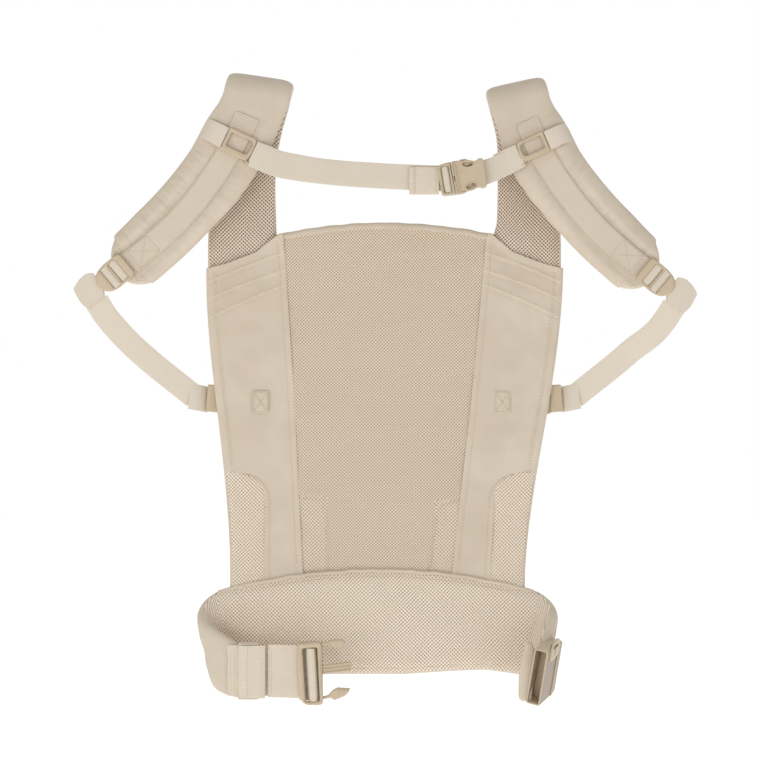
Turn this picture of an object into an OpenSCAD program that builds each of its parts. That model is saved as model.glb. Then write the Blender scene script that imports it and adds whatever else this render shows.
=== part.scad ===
// Soft baby carrier: a padded back panel, a waist belt and two shoulder straps that fold over at the top.
// The wearer's side faces -Y and +Z is up. The origin is on the belt's wearer face, at its middle height.

/* [Panel] */
// Half width of the panel at its top corners
panel_top_half = 177; // [170:1:180]
// Half width of the panel where it meets the belt
panel_low_half = 146; // [140:1:150]
// Height of the top edge above the belt's middle
panel_top_z = 401; // [399:1:404]
// Thickness of the padded panel
panel_thick = 9; // [8:0.5:10]
// Sideways sag of the belt and the panel's lower edge
sag = 7; // [5:1:9]

/* [Belt] */
// Half length of the straight middle of the belt
belt_half = 157; // [155:1:160]
// Thickness of the padded belt
belt_thick = 14; // [12:1:15]
// Height of the belt's top edge above the origin, at the middle
belt_top_z = 54; // [52:1:56]
// Depth of the belt's lower edge below the origin
belt_low = 50; // [48:1:51]
// Lean of the lines that the belt's wings fold along
wing_tilt = 13; // [12:1:14]
// Inside radius of the wings' bends
wing_inner_r = 10; // [10:0.5:11]
// Angle that the right wing turns through
right_turn = 110; // [105:5:115]

/* [Straps] */
// Width of the padded shoulder straps
strap_w = 62; // [60:1:63]
// Thickness of the padded shoulder straps
strap_thick = 13; // [12:1:13]
// Radius of the curve that each strap follows
strap_r = 400; // [398:1:402]

/* [Webbing and buckles] */
// Width of the chest and side webbing
web_w = 25; // [24:1:26]
// Width of the waist webbing
waist_web_w = 50; // [48:1:51]
// Thickness of the webbing
web_t = 1.4; // [1.2:0.1:1.5]
// Clearance between pieces that move on each other
gap = 0.3; // [0.2:0.1:0.4]

/* [Hidden] */
$fn = 64;

cloth = [0.83, 0.78, 0.70];
mesh_colour = [0.80, 0.73, 0.63];
foam_colour = [0.93, 0.92, 0.88];
webbing_colour = [0.86, 0.81, 0.73];
plastic = [0.76, 0.69, 0.58];

skin = 1.2;            // one layer of cloth or mesh
rim = 3;               // width of a turned hem
inner = rim + 0.4;     // lining pieces start this far inside the hem
corner_z = 356;        // height of the panel's top corners
base_inner_x = 108;    // inner foot of a strap base
binding_h = 5;         // height of the top edge's binding
panel_y = 3;           // wearer face of the panel
base_y = 1;            // wearer face of a strap base
fold_axis_y = -9;      // axis of the shoulder folds
fold_inner_r = base_y - fold_axis_y;
arm_front_y = fold_axis_y - fold_inner_r - strap_thick;
arm_back_y = arm_front_y + strap_thick;
rail_front_y = arm_front_y - web_t;

// A flat piece: an outline in X and Z, from y to y + t
module plate(points, y, t) translate([0, y + t, 0]) rotate([90, 0, 0]) linear_extrude(t) polygon(points);

// The same piece mirrored to the wearer's other side
module right_hand() mirror([1, 0, 0]) children();

function flip(list) = [for (i = [len(list) - 1:-1:0]) list[i]];
function mirrored(list) = [for (p = list) [-p[0], p[1]]];
function smooth(u) = let (v = max(0, min(1, u))) v * v * (3 - 2 * v);
function lean(z) = -sag * (1 - max(0, min(1, (z - belt_top_z) / (corner_z - belt_top_z))));
function leaned(list) = [for (p = list) [p[0] + lean(p[1]), p[1]]];
function panel_half(z) = panel_low_half + (panel_top_half - panel_low_half) * smooth((z - 40) / 316);
function belt_top(x) = belt_top_z - 25 * pow(x / 170, 2);
function top_edge(x) = panel_top_z - 12 * pow(x / base_inner_x, 2);
function mesh_half(z) = 76 + 27 * (z - 50) / 333;

// ---- Back panel: outlines are drawn about a straight centre line and then leaned ----

panel_foot = belt_top(panel_low_half);
function side_points(inset, z0, z1) = [for (i = [0:8]) let (z = z0 + (z1 - z0) * i / 8) [panel_half(z) - inset, z]];
// Seam between the panel and a strap base, from the outer corner inwards
seam = [[panel_top_half, corner_z], [158, 361], [129, 372], [base_inner_x, top_edge(base_inner_x)]];
seam_inner = [[panel_top_half - rim, corner_z - 2], [158, 358], [129, 368], [base_inner_x, 384]];
seam_inner_edge = [for (p = seam_inner) p - [0.4, 0.6]];

function panel_right(inset) = concat(
    [for (x = [0:24:144]) [x - (x == 144 ? inset : 0), belt_top(x) + inset]],
    side_points(inset, panel_foot + inset, corner_z - 2 * inset),
    inset > 0 ? seam_inner : seam,
    [for (x = [100:-25:25]) [x, top_edge(x) - binding_h - inset]]);
function panel_outline(inset) = leaned(concat(panel_right(inset), [[0, top_edge(0) - binding_h - inset]],
    mirrored(flip(panel_right(inset)))));

module panel_cover() color(cloth) difference() {
    plate(panel_outline(0), panel_y, panel_thick);
    plate(panel_outline(rim), panel_y - 1, panel_thick + 1 - skin);
}

module panel_foam() color(foam_colour) plate(panel_outline(rim), panel_y + skin, panel_thick - 2 * skin);

module centre_mesh() color(mesh_colour) {
    low = [for (x = [-72:24:72]) [x, belt_top(x) + rim]];
    foot = belt_top(76) + rim;
    top = top_edge(98) - binding_h - rim;
    high = [for (x = [100:-25:-100]) [x, top_edge(x) - binding_h - rim]];
    sides = [[mesh_half(foot), foot], [mesh_half(210), 210], [mesh_half(top), top]];
    plate(leaned(concat(low, sides, high, mirrored(flip(sides)))), panel_y, skin);
}

// Right-hand side mesh, drawn from its inner foot round to the panel's side
inset_arc = [for (a = [180:-15:90]) [140 + 25 * cos(a), 125 + 25 * sin(a)]];
side_mesh_points = concat([[113, belt_top(113) + inner]], inset_arc, flip(side_points(inner, panel_foot + inner + 1, 150)));

function facing_points() = concat(
    [[mesh_half(210), 210], [mesh_half(52), belt_top(77) + rim], [95, belt_top(95) + rim]],
    [side_mesh_points[0]], inset_arc,
    side_points(inner, 151, corner_z - 2 * inner), seam_inner_edge,
    [[103.6, top_edge(103) - binding_h - rim + 0.2], [mesh_half(380) + 0.4, 380]]);

module side_facing_left() color(cloth) plate(leaned(mirrored(facing_points())), panel_y, skin);
module side_facing_right() color(cloth) plate(leaned(facing_points()), panel_y, skin);
module side_mesh_left() color(mesh_colour) plate(leaned(mirrored(side_mesh_points)), panel_y, skin);
module side_mesh_right() color(mesh_colour) plate(leaned(side_mesh_points), panel_y, skin);

// Binding folded over the arched top edge, between the strap bases
module top_binding() color(cloth) {
    high = [for (x = [-98:24.5:98]) [x, top_edge(x)]];
    low = [for (x = [98:-24.5:-98]) [x, top_edge(x) - binding_h + 0.1]];
    plate(concat(high, low), panel_y - 0.8, panel_thick + 1.6);
}

// Two reinforcing patches, each sewn on with an X
module sewn_patches() color(cloth) for (side = [-1, 1])
    translate([side * 121 - 3, panel_y - 0.8, 222]) cube([16, 1.6, 22], center = true);

// ---- Strap bases and the folds over the shoulders ----

// Outer and inner end of the line where each strap starts to fold
fold_outer = [-157.5, 527];
fold_inner = [-98, 515];
fold_line = (fold_inner - fold_outer) / norm(fold_inner - fold_outer);
fold_down = [fold_line[1], -fold_line[0]];
fold_tilt = atan((fold_outer[1] - fold_inner[1]) / (fold_inner[0] - fold_outer[0]));
base_outline = concat([fold_outer, [-168, 470], [-panel_top_half, 398]], mirrored(seam),
    [[-110, 445], [-107, 482], fold_inner]);

module strap_base_mesh() color(mesh_colour) plate(base_outline, base_y, skin);
module strap_base_pad() color(cloth) plate(base_outline, base_y + skin, strap_thick - skin);
module strap_base_mesh_left() strap_base_mesh();
module strap_base_mesh_right() right_hand() strap_base_mesh();
module strap_base_pad_left() strap_base_pad();
module strap_base_pad_right() right_hand() strap_base_pad();

// Half ring of pad where a strap turns over towards the wearer
module shoulder_fold() color(cloth)
    translate([fold_outer[0], fold_axis_y, fold_outer[1]]) rotate([0, 90 + fold_tilt, 0]) rotate([0, 0, 90])
        rotate_extrude(angle = 180) translate([fold_inner_r, 0])
            square([strap_thick, norm(fold_outer - fold_inner)]);
module shoulder_fold_left() shoulder_fold();
module shoulder_fold_right() right_hand() shoulder_fold();

// ---- Shoulder strap arms: they follow an arc about strap_centre ----

arm_start = 22;   // heading off the vertical where the arc starts
arm_end = 52;     // heading at the padded end
lock_bar_heading = 52.6;
strap_centre = [-127.7 - strap_r * cos(arm_start), 521 + strap_r * sin(arm_start)];
function on_arc(r, heading) = strap_centre + r * [cos(heading), -sin(heading)];
function arm_outline(inset) = let (half = strap_w / 2 - inset, end = arm_end - inset / 7) concat(
    [fold_inner - inset * (fold_line - fold_down), fold_outer + inset * (fold_line + fold_down)],
    [for (h = [25:3:49]) on_arc(strap_r - half, h)],
    [for (a = [150:-20:30]) on_arc(strap_r - half * cos(180 - a), end - 1.6 + 2.4 * sin(a))],
    [for (h = [49:-3:25]) on_arc(strap_r + half, h)]);

module strap_cover() color(cloth) difference() {
    plate(arm_outline(0), arm_front_y, strap_thick - skin);
    plate(arm_outline(2), arm_front_y + skin, strap_thick);
}
module strap_foam() color(foam_colour)
    plate(arm_outline(2), arm_front_y + skin, strap_thick - 2 * skin);
module strap_mesh() color(mesh_colour) plate(arm_outline(0), arm_back_y - skin, skin);

// A flat band along the strap's arc
module arc_band(half_w, from, to, y, t)
    translate([strap_centre[0], y, strap_centre[1]]) rotate([-90, 0, 0]) rotate([0, 0, from])
        rotate_extrude(angle = to - from) translate([strap_r - half_w, 0]) square([2 * half_w, t]);

// Where the ladder lock hangs: its bar is on the arc, just past the padded end
lock_heading = 50;
lock_bar = on_arc(strap_r, lock_bar_heading);
lock_bar_r = 1.8;
lock_y = rail_front_y - lock_bar_r - gap - web_t / 2;

// Webbing sewn down the strap, which ends in a loop round the ladder lock's bar
module rail_webbing() color(webbing_colour) {
    arc_band(web_w / 2, 24, lock_bar_heading, rail_front_y, web_t);
    difference() {
        lock_loop_rod(lock_bar_r + gap + web_t);
        lock_loop_rod(lock_bar_r + gap, 40);
    }
}
module lock_loop_rod(r, length = web_w - 2) at_lock() rotate([0, 90, 0]) cylinder(r = r, h = length, center = true);

module strap_cover_left() strap_cover();
module strap_foam_left() strap_foam();
module strap_mesh_left() strap_mesh();
module rail_webbing_left() rail_webbing();
module strap_cover_right() right_hand() strap_cover();
module strap_foam_right() right_hand() strap_foam();
module strap_mesh_right() right_hand() strap_mesh();
module rail_webbing_right() right_hand() rail_webbing();

// ---- Ladder locks: local -Z runs on past the strap's end, local X is across the strap ----

module at_lock() translate([lock_bar[0], lock_y, lock_bar[1]]) rotate([0, lock_heading, 0]) children();

lock_w = 31;
lock_t = 5;
module ladder_lock() color(plastic) at_lock() {
    for (side = [-1, 1]) translate([side * (lock_w / 2 - 1.3), 0, -6]) cube([2.6, lock_t, 18], center = true);
    for (side = [-1, 1]) translate([side * (lock_w / 2 - 1.3), -1.75, 3]) cube([2.6, 1.5, 10], center = true);
    rotate([0, 90, 0]) cylinder(r = lock_bar_r, h = lock_w - 2, center = true);
    translate([0, 0, -9.5]) rotate([0, 90, 0]) cylinder(r = lock_bar_r, h = lock_w - 2, center = true);
    translate([0, -1.75, 8]) cube([lock_w, 1.5, 6], center = true);
    intersection() {
        translate([0, -0.8, -12.5]) rotate([90, 0, 0]) cylinder(r = 14, h = lock_t - 1.6, center = true);
        translate([0, 0, -20.5]) cube([lock_w, lock_t, 13], center = true);
    }
}
module ladder_lock_left() ladder_lock();
module ladder_lock_right() right_hand() ladder_lock();

// ---- Side webbing: out of the lock, folded at a corner, then down to the side buckle ----

side_top = [-292, 326];
side_foot = [-196, 229];
side_top_y = -33.4;
side_foot_y = 13;
side_run = norm([side_foot[0] - side_top[0], side_foot_y - side_top_y, side_foot[1] - side_top[1]]);
side_drop = asin((side_top[1] - side_foot[1]) / side_run);
side_turn = atan2(side_foot_y - side_top_y, side_foot[0] - side_top[0]);

module side_webbing() color(webbing_colour) {
    plate([[-285, 352], [-300, 347], [-310, 334], [-296, 318], [-279, 333], [-269, 336]], side_top_y - web_t, web_t);
    translate([side_top[0], side_top_y, side_top[1]]) rotate([0, 0, side_turn]) rotate([0, side_drop, 0])
        translate([0, 0, -web_w / 2]) cube([side_run, web_t, web_w]);
}
module side_webbing_left() side_webbing();
module side_webbing_right() right_hand() side_webbing();

// ---- Side-release buckles: the socket's mouth is at the local origin and opens towards +X ----

module socket(w, length, thick, reach) {
    wide = w + 9;
    difference() {
        translate([-length / 2, 0, 0]) cube([length, thick, wide], center = true);
        translate([-length / 2 + 4, 0, 0]) cube([length - 8, thick - 3, wide - 5], center = true);
        translate([1, 0, 0]) cube([8, thick - 3, wide - 5], center = true);
        for (side = [-1, 1]) translate([-reach * 0.56, 0, side * wide / 2])
            rotate([90, 0, 0]) cylinder(r = reach * 0.3, h = thick - 3, center = true);
        translate([-length + 4, 0, 0]) cube([3, thick * 2, w + 1], center = true);
    }
}

// Frame of a plug: a base at the mouth, a bar for the webbing and an outer bar that covers it
module plug(w, length, thick) {
    wide = w + 9;
    base = min(4, length * 0.5 - 4);
    translate([base / 2, 0, 0]) cube([base, thick, wide - 5.6], center = true);
    for (side = [-1, 1]) translate([length / 2, 0, side * (wide / 2 - 1.8)]) cube([length, thick, 3.6], center = true);
    translate([length * 0.5, 0, 0]) cylinder(r = 1.8, h = wide - 4, center = true);
    translate([length - 1.8, -1.8 - 2 * gap - web_t - 1, 0]) cube([3.6, 2, wide], center = true);
    translate([-length * 0.55, 0, 0]) cube([length * 1.1, 3.2, w * 0.16], center = true);
}

// One prong: a slender arm and a leaf-shaped head, on the +Z side of the plug
module prong(w, reach, t) {
    z0 = w / 2 - 0.5;
    plate([[-gap, z0 + 1.6], [-reach * 0.34, z0 + 2.2], [-reach * 0.44, z0 + 4.9], [-reach * 0.72, z0 + 4.6],
        [-reach, z0], [-reach, z0 - 1.4], [-reach * 0.75, z0 - 2.6], [-reach * 0.45, z0 - 1.4], [-gap, z0 - 1]],
        -t / 2, t);
}

// Webbing that turns round the plug's bar and lies doubled over the run it adjusts
module tail(w, length, reach) {
    r = 1.8 + gap;
    translate([length * 0.5, 0, 0]) rotate([0, 0, 90]) rotate_extrude(angle = 180)
        translate([r, -w / 2]) square([web_t, w]);
    translate([length * 0.5, -r - web_t, -w / 2]) cube([reach, web_t, w]);
    translate([length * 0.5, r, -w / 2]) cube([length * 0.4, web_t, w]);
}

// ---- Side buckles, behind the panel's edges ----

side_buckle_y = 18;
side_buckle_t = 7.6;
module at_side_buckle() translate([-166.5, side_buckle_y, 225]) rotate([0, 180, 0]) children();
module side_socket() color(plastic) at_side_buckle() socket(web_w - 4, 30, side_buckle_t, 17);
module side_plug() color(plastic) at_side_buckle() {
    translate([1, 0, 0]) plug(web_w - 4, 13, 8);
    for (side = [0, 1]) mirror([0, 0, side]) translate([1.3, 0, 0]) prong(web_w - 12, 15, 3);
}
module side_loop() color(webbing_colour) at_side_buckle() translate([1, 0, 0]) tail(web_w - 4.5, 13, 14);
// Webbing sewn to the back of the panel, which holds the socket
module side_tab() color(webbing_colour) plate([[-136, 237], [-136, 213], [-100, 207], [-100, 231]],
    panel_y + panel_thick, web_t);
module side_socket_left() side_socket();
module side_socket_right() right_hand() side_socket();
module side_plug_left() side_plug();
module side_plug_right() right_hand() side_plug();
module side_loop_left() side_loop();
module side_loop_right() right_hand() side_loop();
module side_tab_left() side_tab();
module side_tab_right() right_hand() side_tab();

// ---- Chest strap: sliders on the rails, bands round the arms, webbing and buckle ----

slider_at = on_arc(strap_r, 28.2);
slider_angle = 26;
slider_y = -38.3;
module at_slider() translate([slider_at[0], 0, slider_at[1]]) rotate([0, slider_angle, 0]) children();

module chest_slider() color(plastic) at_slider() {
    difference() {
        translate([0, slider_y + 1.5, 0]) cube([34, 3, 27], center = true);
        translate([0, slider_y + 1.5, 0]) cube([25.6, 4, 17.5], center = true);
    }
    for (x = [-1, 1], z = [-1, 1]) {
        translate([x * 20, slider_y + 0.7, z * 12.2]) cube([7, 1.4, 2.6], center = true);
        translate([x * 22.2, slider_y + 0.7, z * 10.5]) cube([2.6, 1.4, 5], center = true);
    }
}

// Band that holds the slider on: it runs round the arm's back and both edges
module cross_band() color(webbing_colour) at_slider() difference() {
    translate([0, (arm_front_y + arm_back_y) / 2 - 0.6, 0]) cube([strap_w + 6, strap_thick + 5, 20], center = true);
    translate([0, (arm_front_y + arm_back_y) / 2 - 0.6, 0]) cube([strap_w + 3.6, strap_thick + 2.6, 40], center = true);
    translate([0, arm_front_y - 3, 0]) cube([36, 8, 40], center = true);
}

chest_run_y = -36.6;
// Centre line of the left chest webbing, from the slider to the buckle
chest_line = [[-126, 469], [-108, 459.5], [-74, 454], [-34, 450], [14, 447.2], [60, 445.6]];
function shifted(list, d) = [for (p = list) p + [0, d]];
module chest_webbing_left() color(webbing_colour)
    plate(concat(shifted(chest_line, web_w / 2), flip(shifted(chest_line, -web_w / 2))), chest_run_y, web_t);
chest_line_right = [[93, 450.2], [114, 458.5], [126, 466]];
module chest_webbing_right() color(webbing_colour)
    plate(concat(shifted(chest_line_right, web_w / 2), flip(shifted(chest_line_right, -web_w / 2))), chest_run_y, web_t);

chest_slope = 11.5;
chest_y = -42;
module at_chest_buckle() translate([68.5, chest_y, 445.2]) rotate([0, -chest_slope, 0]) children();
chest_thick = 9;
chest_reach = 19;
module chest_socket() color(plastic) at_chest_buckle() rotate([0, 180, 0]) translate([-0.2, 0, 0])
    socket(web_w, 28, chest_thick, chest_reach);
module chest_plug() color(plastic) at_chest_buckle() rotate([0, 180, 0]) plug(web_w, 17, chest_thick);
module chest_tail() color(webbing_colour) at_chest_buckle() rotate([0, 180, 0]) tail(web_w, 17, 34);
module chest_prong(side) color(plastic) at_chest_buckle() rotate([0, 180, 0]) mirror([0, 0, side])
    prong(web_w - 6, chest_reach, 4);
module chest_prong_upper() chest_prong(1);
module chest_prong_lower() chest_prong(0);
module chest_slider_left() chest_slider();
module chest_slider_right() right_hand() chest_slider();
module cross_band_left() cross_band();
module cross_band_right() right_hand() cross_band();

// ---- Waist belt ----

function wing_line(z) = belt_half - gap + (z - 10) * tan(wing_tilt);
belt_ends_top = [wing_line(31), 31];
belt_ends_low = [wing_line(-belt_low), -belt_low];
belt_right = concat([belt_ends_low, belt_ends_top], [for (x = [144:-24:0]) [x, belt_top(x)]]);
belt_points = [for (p = concat(belt_right, mirrored(flip(belt_right)))) p - [sag, 0]];

module belt_mesh() color(mesh_colour) plate(belt_points, 0, skin);
module belt_foam() color(foam_colour) plate(belt_points, skin, belt_thick - 2 * skin);
module belt_cover() color(cloth) plate(belt_points, belt_thick - skin, skin);

// Frame on a wing's bend axis, for the left wing; a strip not yet bent runs along -X
module at_bend() translate([-belt_half - sag, -wing_inner_r, 10]) rotate([0, -wing_tilt, 0]) children();
module past_bend(turn) at_bend() rotate([0, 0, turn]) children();
// The same frame levelled along the webbing, which leaves each wing at an angle
module along_webbing(turn) past_bend(turn) rotate([0, -wing_tilt, 0]) children();
// The right wing is the left one mirrored about the belt's middle
module right_wing() translate([-2 * sag, 0, 0]) right_hand() children();

outer_r = wing_inner_r + belt_thick;
module bend_ring(from, to, points) intersection() {
    rotate([0, 0, from]) translate([0, 0, -100]) rotate_extrude(angle = to - from)
        translate([wing_inner_r, 0]) square([belt_thick, 140]);
    plate(points, -outer_r - 1, 2 * outer_r + 2);
}
// Upper and lower edge of the strip where the turn ends, in the wing's frame
bend_end_left = [-19.4, -82.2];
bend_end_right = [-1.7, -71.5];
module belt_bend(turn, ends, inner_x, outer_x) color(cloth) at_bend() {
    bend_ring(90, 180, [[0.1, 22], [-25, 3.3], [-25, -68.4], [0.1, -61.6]]);
    bend_ring(180, 90 + turn, [[-25, 3.3], [outer_x, ends[0]], [inner_x, ends[0]],
        [inner_x, ends[1]], [outer_x, ends[1]], [-25, -68.4]]);
}
function levelled(z) = z * [sin(wing_tilt), cos(wing_tilt)] - [gap, 0];
module belt_end(ends, length, thick) color(cloth)
    plate([levelled(ends[0]), [-length, -33], [-length, -81], levelled(ends[1])], wing_inner_r, thick);
module belt_bend_left() belt_bend(180, bend_end_left, 0.2, 0);
module belt_bend_right() right_wing() belt_bend(right_turn, bend_end_right, -6, -22);
module belt_end_left() along_webbing(180) {
    belt_end(bend_end_left, 18.9, belt_thick);
    belt_end(bend_end_left, 31, belt_thick - 3);
}
module belt_end_right() right_wing() along_webbing(right_turn) belt_end(bend_end_right, 40, belt_thick);

waist_z = -57.5;         // middle of the webbing, in the wings' frame
run_y = outer_r;         // inner face of the webbing's run
plug_x = -101.5;         // the plug's mouth on the left wing
plug_len = 24;
waist_thick = 11;
plug_y = run_y + web_t + gap + waist_thick / 2;
module waist_webbing_left() color(webbing_colour) along_webbing(180)
    translate([-96, run_y, waist_z - waist_web_w / 2]) cube([88, web_t, waist_web_w]);
module webbing_keeper() color(webbing_colour) along_webbing(180) difference() {
    translate([-30, run_y + 2.4, waist_z]) cube([22, 10, waist_web_w + 5], center = true);
    translate([-30, run_y + 2.4, waist_z]) cube([30, 7.6, waist_web_w + 2.6], center = true);
}
module at_waist_plug() along_webbing(180) translate([plug_x, plug_y, waist_z]) children();
module waist_plug() color(plastic) at_waist_plug() mirror([0, 1, 0]) plug(waist_web_w, plug_len, waist_thick);
module waist_tail() color(webbing_colour) at_waist_plug() mirror([0, 1, 0]) tail(waist_web_w, plug_len, 41);
module waist_prong(side) color(plastic) at_waist_plug() mirror([0, 0, side]) prong(waist_web_w, 27, 5);
module waist_prong_upper() waist_prong(0);
module waist_prong_lower() waist_prong(1);

socket_thick = 15;
socket_len = 52;
socket_z = waist_z + 7;
module waist_socket() color(plastic) right_wing() along_webbing(right_turn)
    translate([-58, run_y + gap + socket_thick / 2, socket_z]) rotate([0, 180, 0])
    socket(waist_web_w - 1, socket_len, socket_thick, 32);

panel_cover();
panel_foam();
centre_mesh();
side_facing_left();
side_facing_right();
side_mesh_left();
side_mesh_right();
top_binding();
sewn_patches();
strap_base_mesh_left();
strap_base_mesh_right();
strap_base_pad_left();
strap_base_pad_right();
belt_cover();
belt_foam();
belt_mesh();
side_tab_left();
side_tab_right();
side_socket_left();
side_socket_right();
shoulder_fold_left();
shoulder_fold_right();
strap_cover_left();
strap_foam_left();
strap_mesh_left();
rail_webbing_left();
strap_cover_right();
strap_foam_right();
strap_mesh_right();
rail_webbing_right();
ladder_lock_left();
ladder_lock_right();
side_webbing_left();
side_webbing_right();
side_plug_left();
side_plug_right();
side_loop_left();
side_loop_right();
chest_slider_left();
cross_band_left();
chest_webbing_left();
chest_slider_right();
cross_band_right();
chest_webbing_right();
chest_socket();
chest_plug();
chest_tail();
chest_prong_upper();
chest_prong_lower();
belt_bend_left();
belt_end_left();
waist_webbing_left();
webbing_keeper();
waist_plug();
waist_tail();
waist_prong_upper();
waist_prong_lower();
belt_bend_right();
belt_end_right();
waist_socket();
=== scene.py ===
"""Looks of the soft baby carrier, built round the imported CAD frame.

Lengths in the shape code are millimetres in the frame's own axes: -Y faces the wearer, +Z is up.
make() turns them into metres. Left and right are as the wearer's side is seen.
"""

import math

import bmesh
import bpy
import numpy as np
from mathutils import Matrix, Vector
from mathutils.bvhtree import BVHTree
from mathutils.geometry import tessellate_polygon

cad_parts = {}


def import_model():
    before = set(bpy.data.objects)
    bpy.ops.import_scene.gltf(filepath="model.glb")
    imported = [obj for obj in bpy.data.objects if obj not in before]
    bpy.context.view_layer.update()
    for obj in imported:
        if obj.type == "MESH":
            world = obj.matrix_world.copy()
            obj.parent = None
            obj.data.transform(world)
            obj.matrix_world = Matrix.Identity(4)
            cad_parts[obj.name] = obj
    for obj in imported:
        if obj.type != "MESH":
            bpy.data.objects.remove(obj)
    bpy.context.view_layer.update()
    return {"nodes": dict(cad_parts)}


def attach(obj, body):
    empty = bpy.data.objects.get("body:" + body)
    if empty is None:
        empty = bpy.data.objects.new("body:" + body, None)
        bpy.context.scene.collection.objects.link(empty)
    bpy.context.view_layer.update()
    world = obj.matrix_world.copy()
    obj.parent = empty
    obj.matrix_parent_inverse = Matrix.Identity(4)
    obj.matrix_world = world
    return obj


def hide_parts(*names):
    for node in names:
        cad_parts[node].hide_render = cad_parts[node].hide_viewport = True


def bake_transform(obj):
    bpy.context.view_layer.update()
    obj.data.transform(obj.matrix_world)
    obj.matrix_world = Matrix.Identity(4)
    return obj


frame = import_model()

MM = 0.001
WEARER = np.array([0.0, -1.0, 0.0])

# Panel and belt, as in the CAD
SAG = 7  # the panel's low end and the belt hang this far to the left
SWAY, SWAY_Z, SWAY_REACH = 1.2, 230, 110  # and the panel bows to the right between
PANEL_LOW_HALF, PANEL_TOP_HALF = 146, 177
PANEL_TOP_Z, CORNER_Z, BASE_INNER_X = 401, 356, 108
PANEL_MID_Y, PANEL_EDGE = 7.5, 2  # the panel's edge stands proud of the CAD's
BELT_HALF, BELT_HALF_THICK, BELT_TOP_Z = 157, 7, 54
WING_TILT, WING_INNER_R = 13, 10
WING_MID_R = WING_INNER_R + BELT_HALF_THICK
LEFT_TURN, RIGHT_TURN = 180, 110
BELT_SEAM = 6.5  # from the belt's edge to its seam
WING_FRAME = [-BELT_HALF - SAG, -WING_INNER_R, 10]
WING_TOP = [[-60, 30], [0, 24], [26.7, 8], [53.4, -16]]
WING_LOW = [[-60, -61.6], [0, -61.6], [26.7, -68.4], [53.4, -82.2]]
SEAM = [[-177, 356], [-158, 361], [-129, 372], [-108, 389]]

# Shoulder straps
FOLD_OUTER, FOLD_INNER = np.array([-157.5, 527.0]), np.array([-98.0, 515.0])
FOLD_AXIS_Y, FOLD_INNER_R, STRAP_THICK = -9, 10, 13
ARC_R, ARC_START, ARC_END = 400, 22, 52.9
ARC_CENTRE = np.array(
    [-127.7 - ARC_R * math.cos(math.radians(22)), 521 + ARC_R * math.sin(math.radians(22))]
)
ARM_MID_Y = FOLD_AXIS_Y - FOLD_INNER_R - STRAP_THICK / 2
STRAP_HALF = STRAP_THICK / 2
RAIL_Y, RAIL_FLOOR_Y = -33.4, -31.9

# How the photographed carrier hangs: shifts of the right fold (and more at its inner side), of the right
# strap base's inner side, of the right arm's low end and of the left fold
RIGHT_FOLD_OUT, RIGHT_FOLD_INNER_OUT, RIGHT_FOLD_DOWN = 4, 4, 3
RIGHT_BASE_OUT, RIGHT_ARM_OUT, RIGHT_ARM_DOWN = 4.5, 1.5, 4.5
LEFT_FOLD_IN, LEFT_FOLD_UP, LEFT_FOLD_INNER_UP = 2.5, 1.5, 2


# ---------------------------------------------------------------- small maths


def smooth(u):
    v = np.clip(u, 0, 1)
    return v * v * (3 - 2 * v)


def lerp(a, b, t):
    return a + (b - a) * t


def hump(d, width):
    """1 at d = 0, fading to nothing about two widths away."""
    return np.exp(-((d / width) ** 2))


def steps(n, crowd=0.35):
    """n + 1 values from -1 to 1, crowded towards both ends."""
    t = np.linspace(0, 1, n + 1)
    return lerp(2 * t - 1, -np.cos(math.pi * t), crowd)


def rounded(c, power=8):
    """Profile of a padded edge across c = -1 to 1."""
    return np.sqrt(np.clip(1 - np.abs(c) ** power, 0, 1))


def ripple(a, b, size, seed, waves=7):
    """Smooth noise of about -1 to 1 whose bumps are about size apart."""
    rng = np.random.default_rng(seed)
    total = 0
    for _ in range(waves):
        turn, phase, scale = rng.uniform(0, math.pi), rng.uniform(0, 7), rng.uniform(0.7, 1.5)
        k = 2 * math.pi / (size * scale)
        total = total + np.sin(k * (a * math.cos(turn) + b * math.sin(turn)) + phase)
    return total / math.sqrt(waves)


def along(points, t):
    """Points on a polyline at shares t of its length."""
    p = np.array(points, float)
    reach = lengths(p)
    return np.stack([np.interp(np.asarray(t) * reach[-1], reach, axis) for axis in p.T], -1)


def curve(points, n, rounds=3):
    """A polyline smoothed by cutting its corners, as n points."""
    p = np.array(points, float)
    for _ in range(rounds):
        cut = np.stack([lerp(p[:-1], p[1:], 0.25), lerp(p[:-1], p[1:], 0.75)], 1).reshape(-1, p.shape[1])
        p = np.concatenate([p[:1], cut, p[-1:]])
    return along(p, np.linspace(0, 1, n))


def turned_y(p, degrees):
    a = math.radians(degrees)
    x, y, z = np.moveaxis(np.asarray(p, float), -1, 0)
    return np.stack([x * math.cos(a) + z * math.sin(a), y, -x * math.sin(a) + z * math.cos(a)], -1)


def xyz(x, y, z):
    """Points from their coordinates, any of which may be a single number."""
    return np.stack(np.broadcast_arrays(*(np.asarray(k, float) for k in (x, y, z))), -1)


def lengths(points):
    """Distance along a polyline to each of its points."""
    return np.concatenate([[0], np.cumsum(np.linalg.norm(np.diff(points, axis=0), axis=1))])


def unit(v):
    return v / np.linalg.norm(v, axis=-1, keepdims=True)


# ---------------------------------------------------------------- materials


def add(nt, kind, inputs=(), **settings):
    """A shader node. Each input takes a value, or the output of another node."""
    n = nt.nodes.new("ShaderNode" + kind)
    for k, v in settings.items():
        setattr(n, k, v)
    for k, v in dict(inputs).items():
        if isinstance(v, bpy.types.NodeSocket):
            nt.links.new(v, n.inputs[k])
        else:
            n.inputs[k].default_value = v
    return n


def calc(nt, op, *values, clamp=False):
    return add(nt, "Math", dict(enumerate(values)), operation=op, use_clamp=clamp).outputs[0]


def srgb(*rgb):
    """A colour from its 0 to 255 screen values."""
    c = [v / 255 for v in rgb]
    return [(v / 12.92 if v <= 0.04045 else ((v + 0.055) / 1.055) ** 2.4) for v in c] + [1.0]


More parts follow.
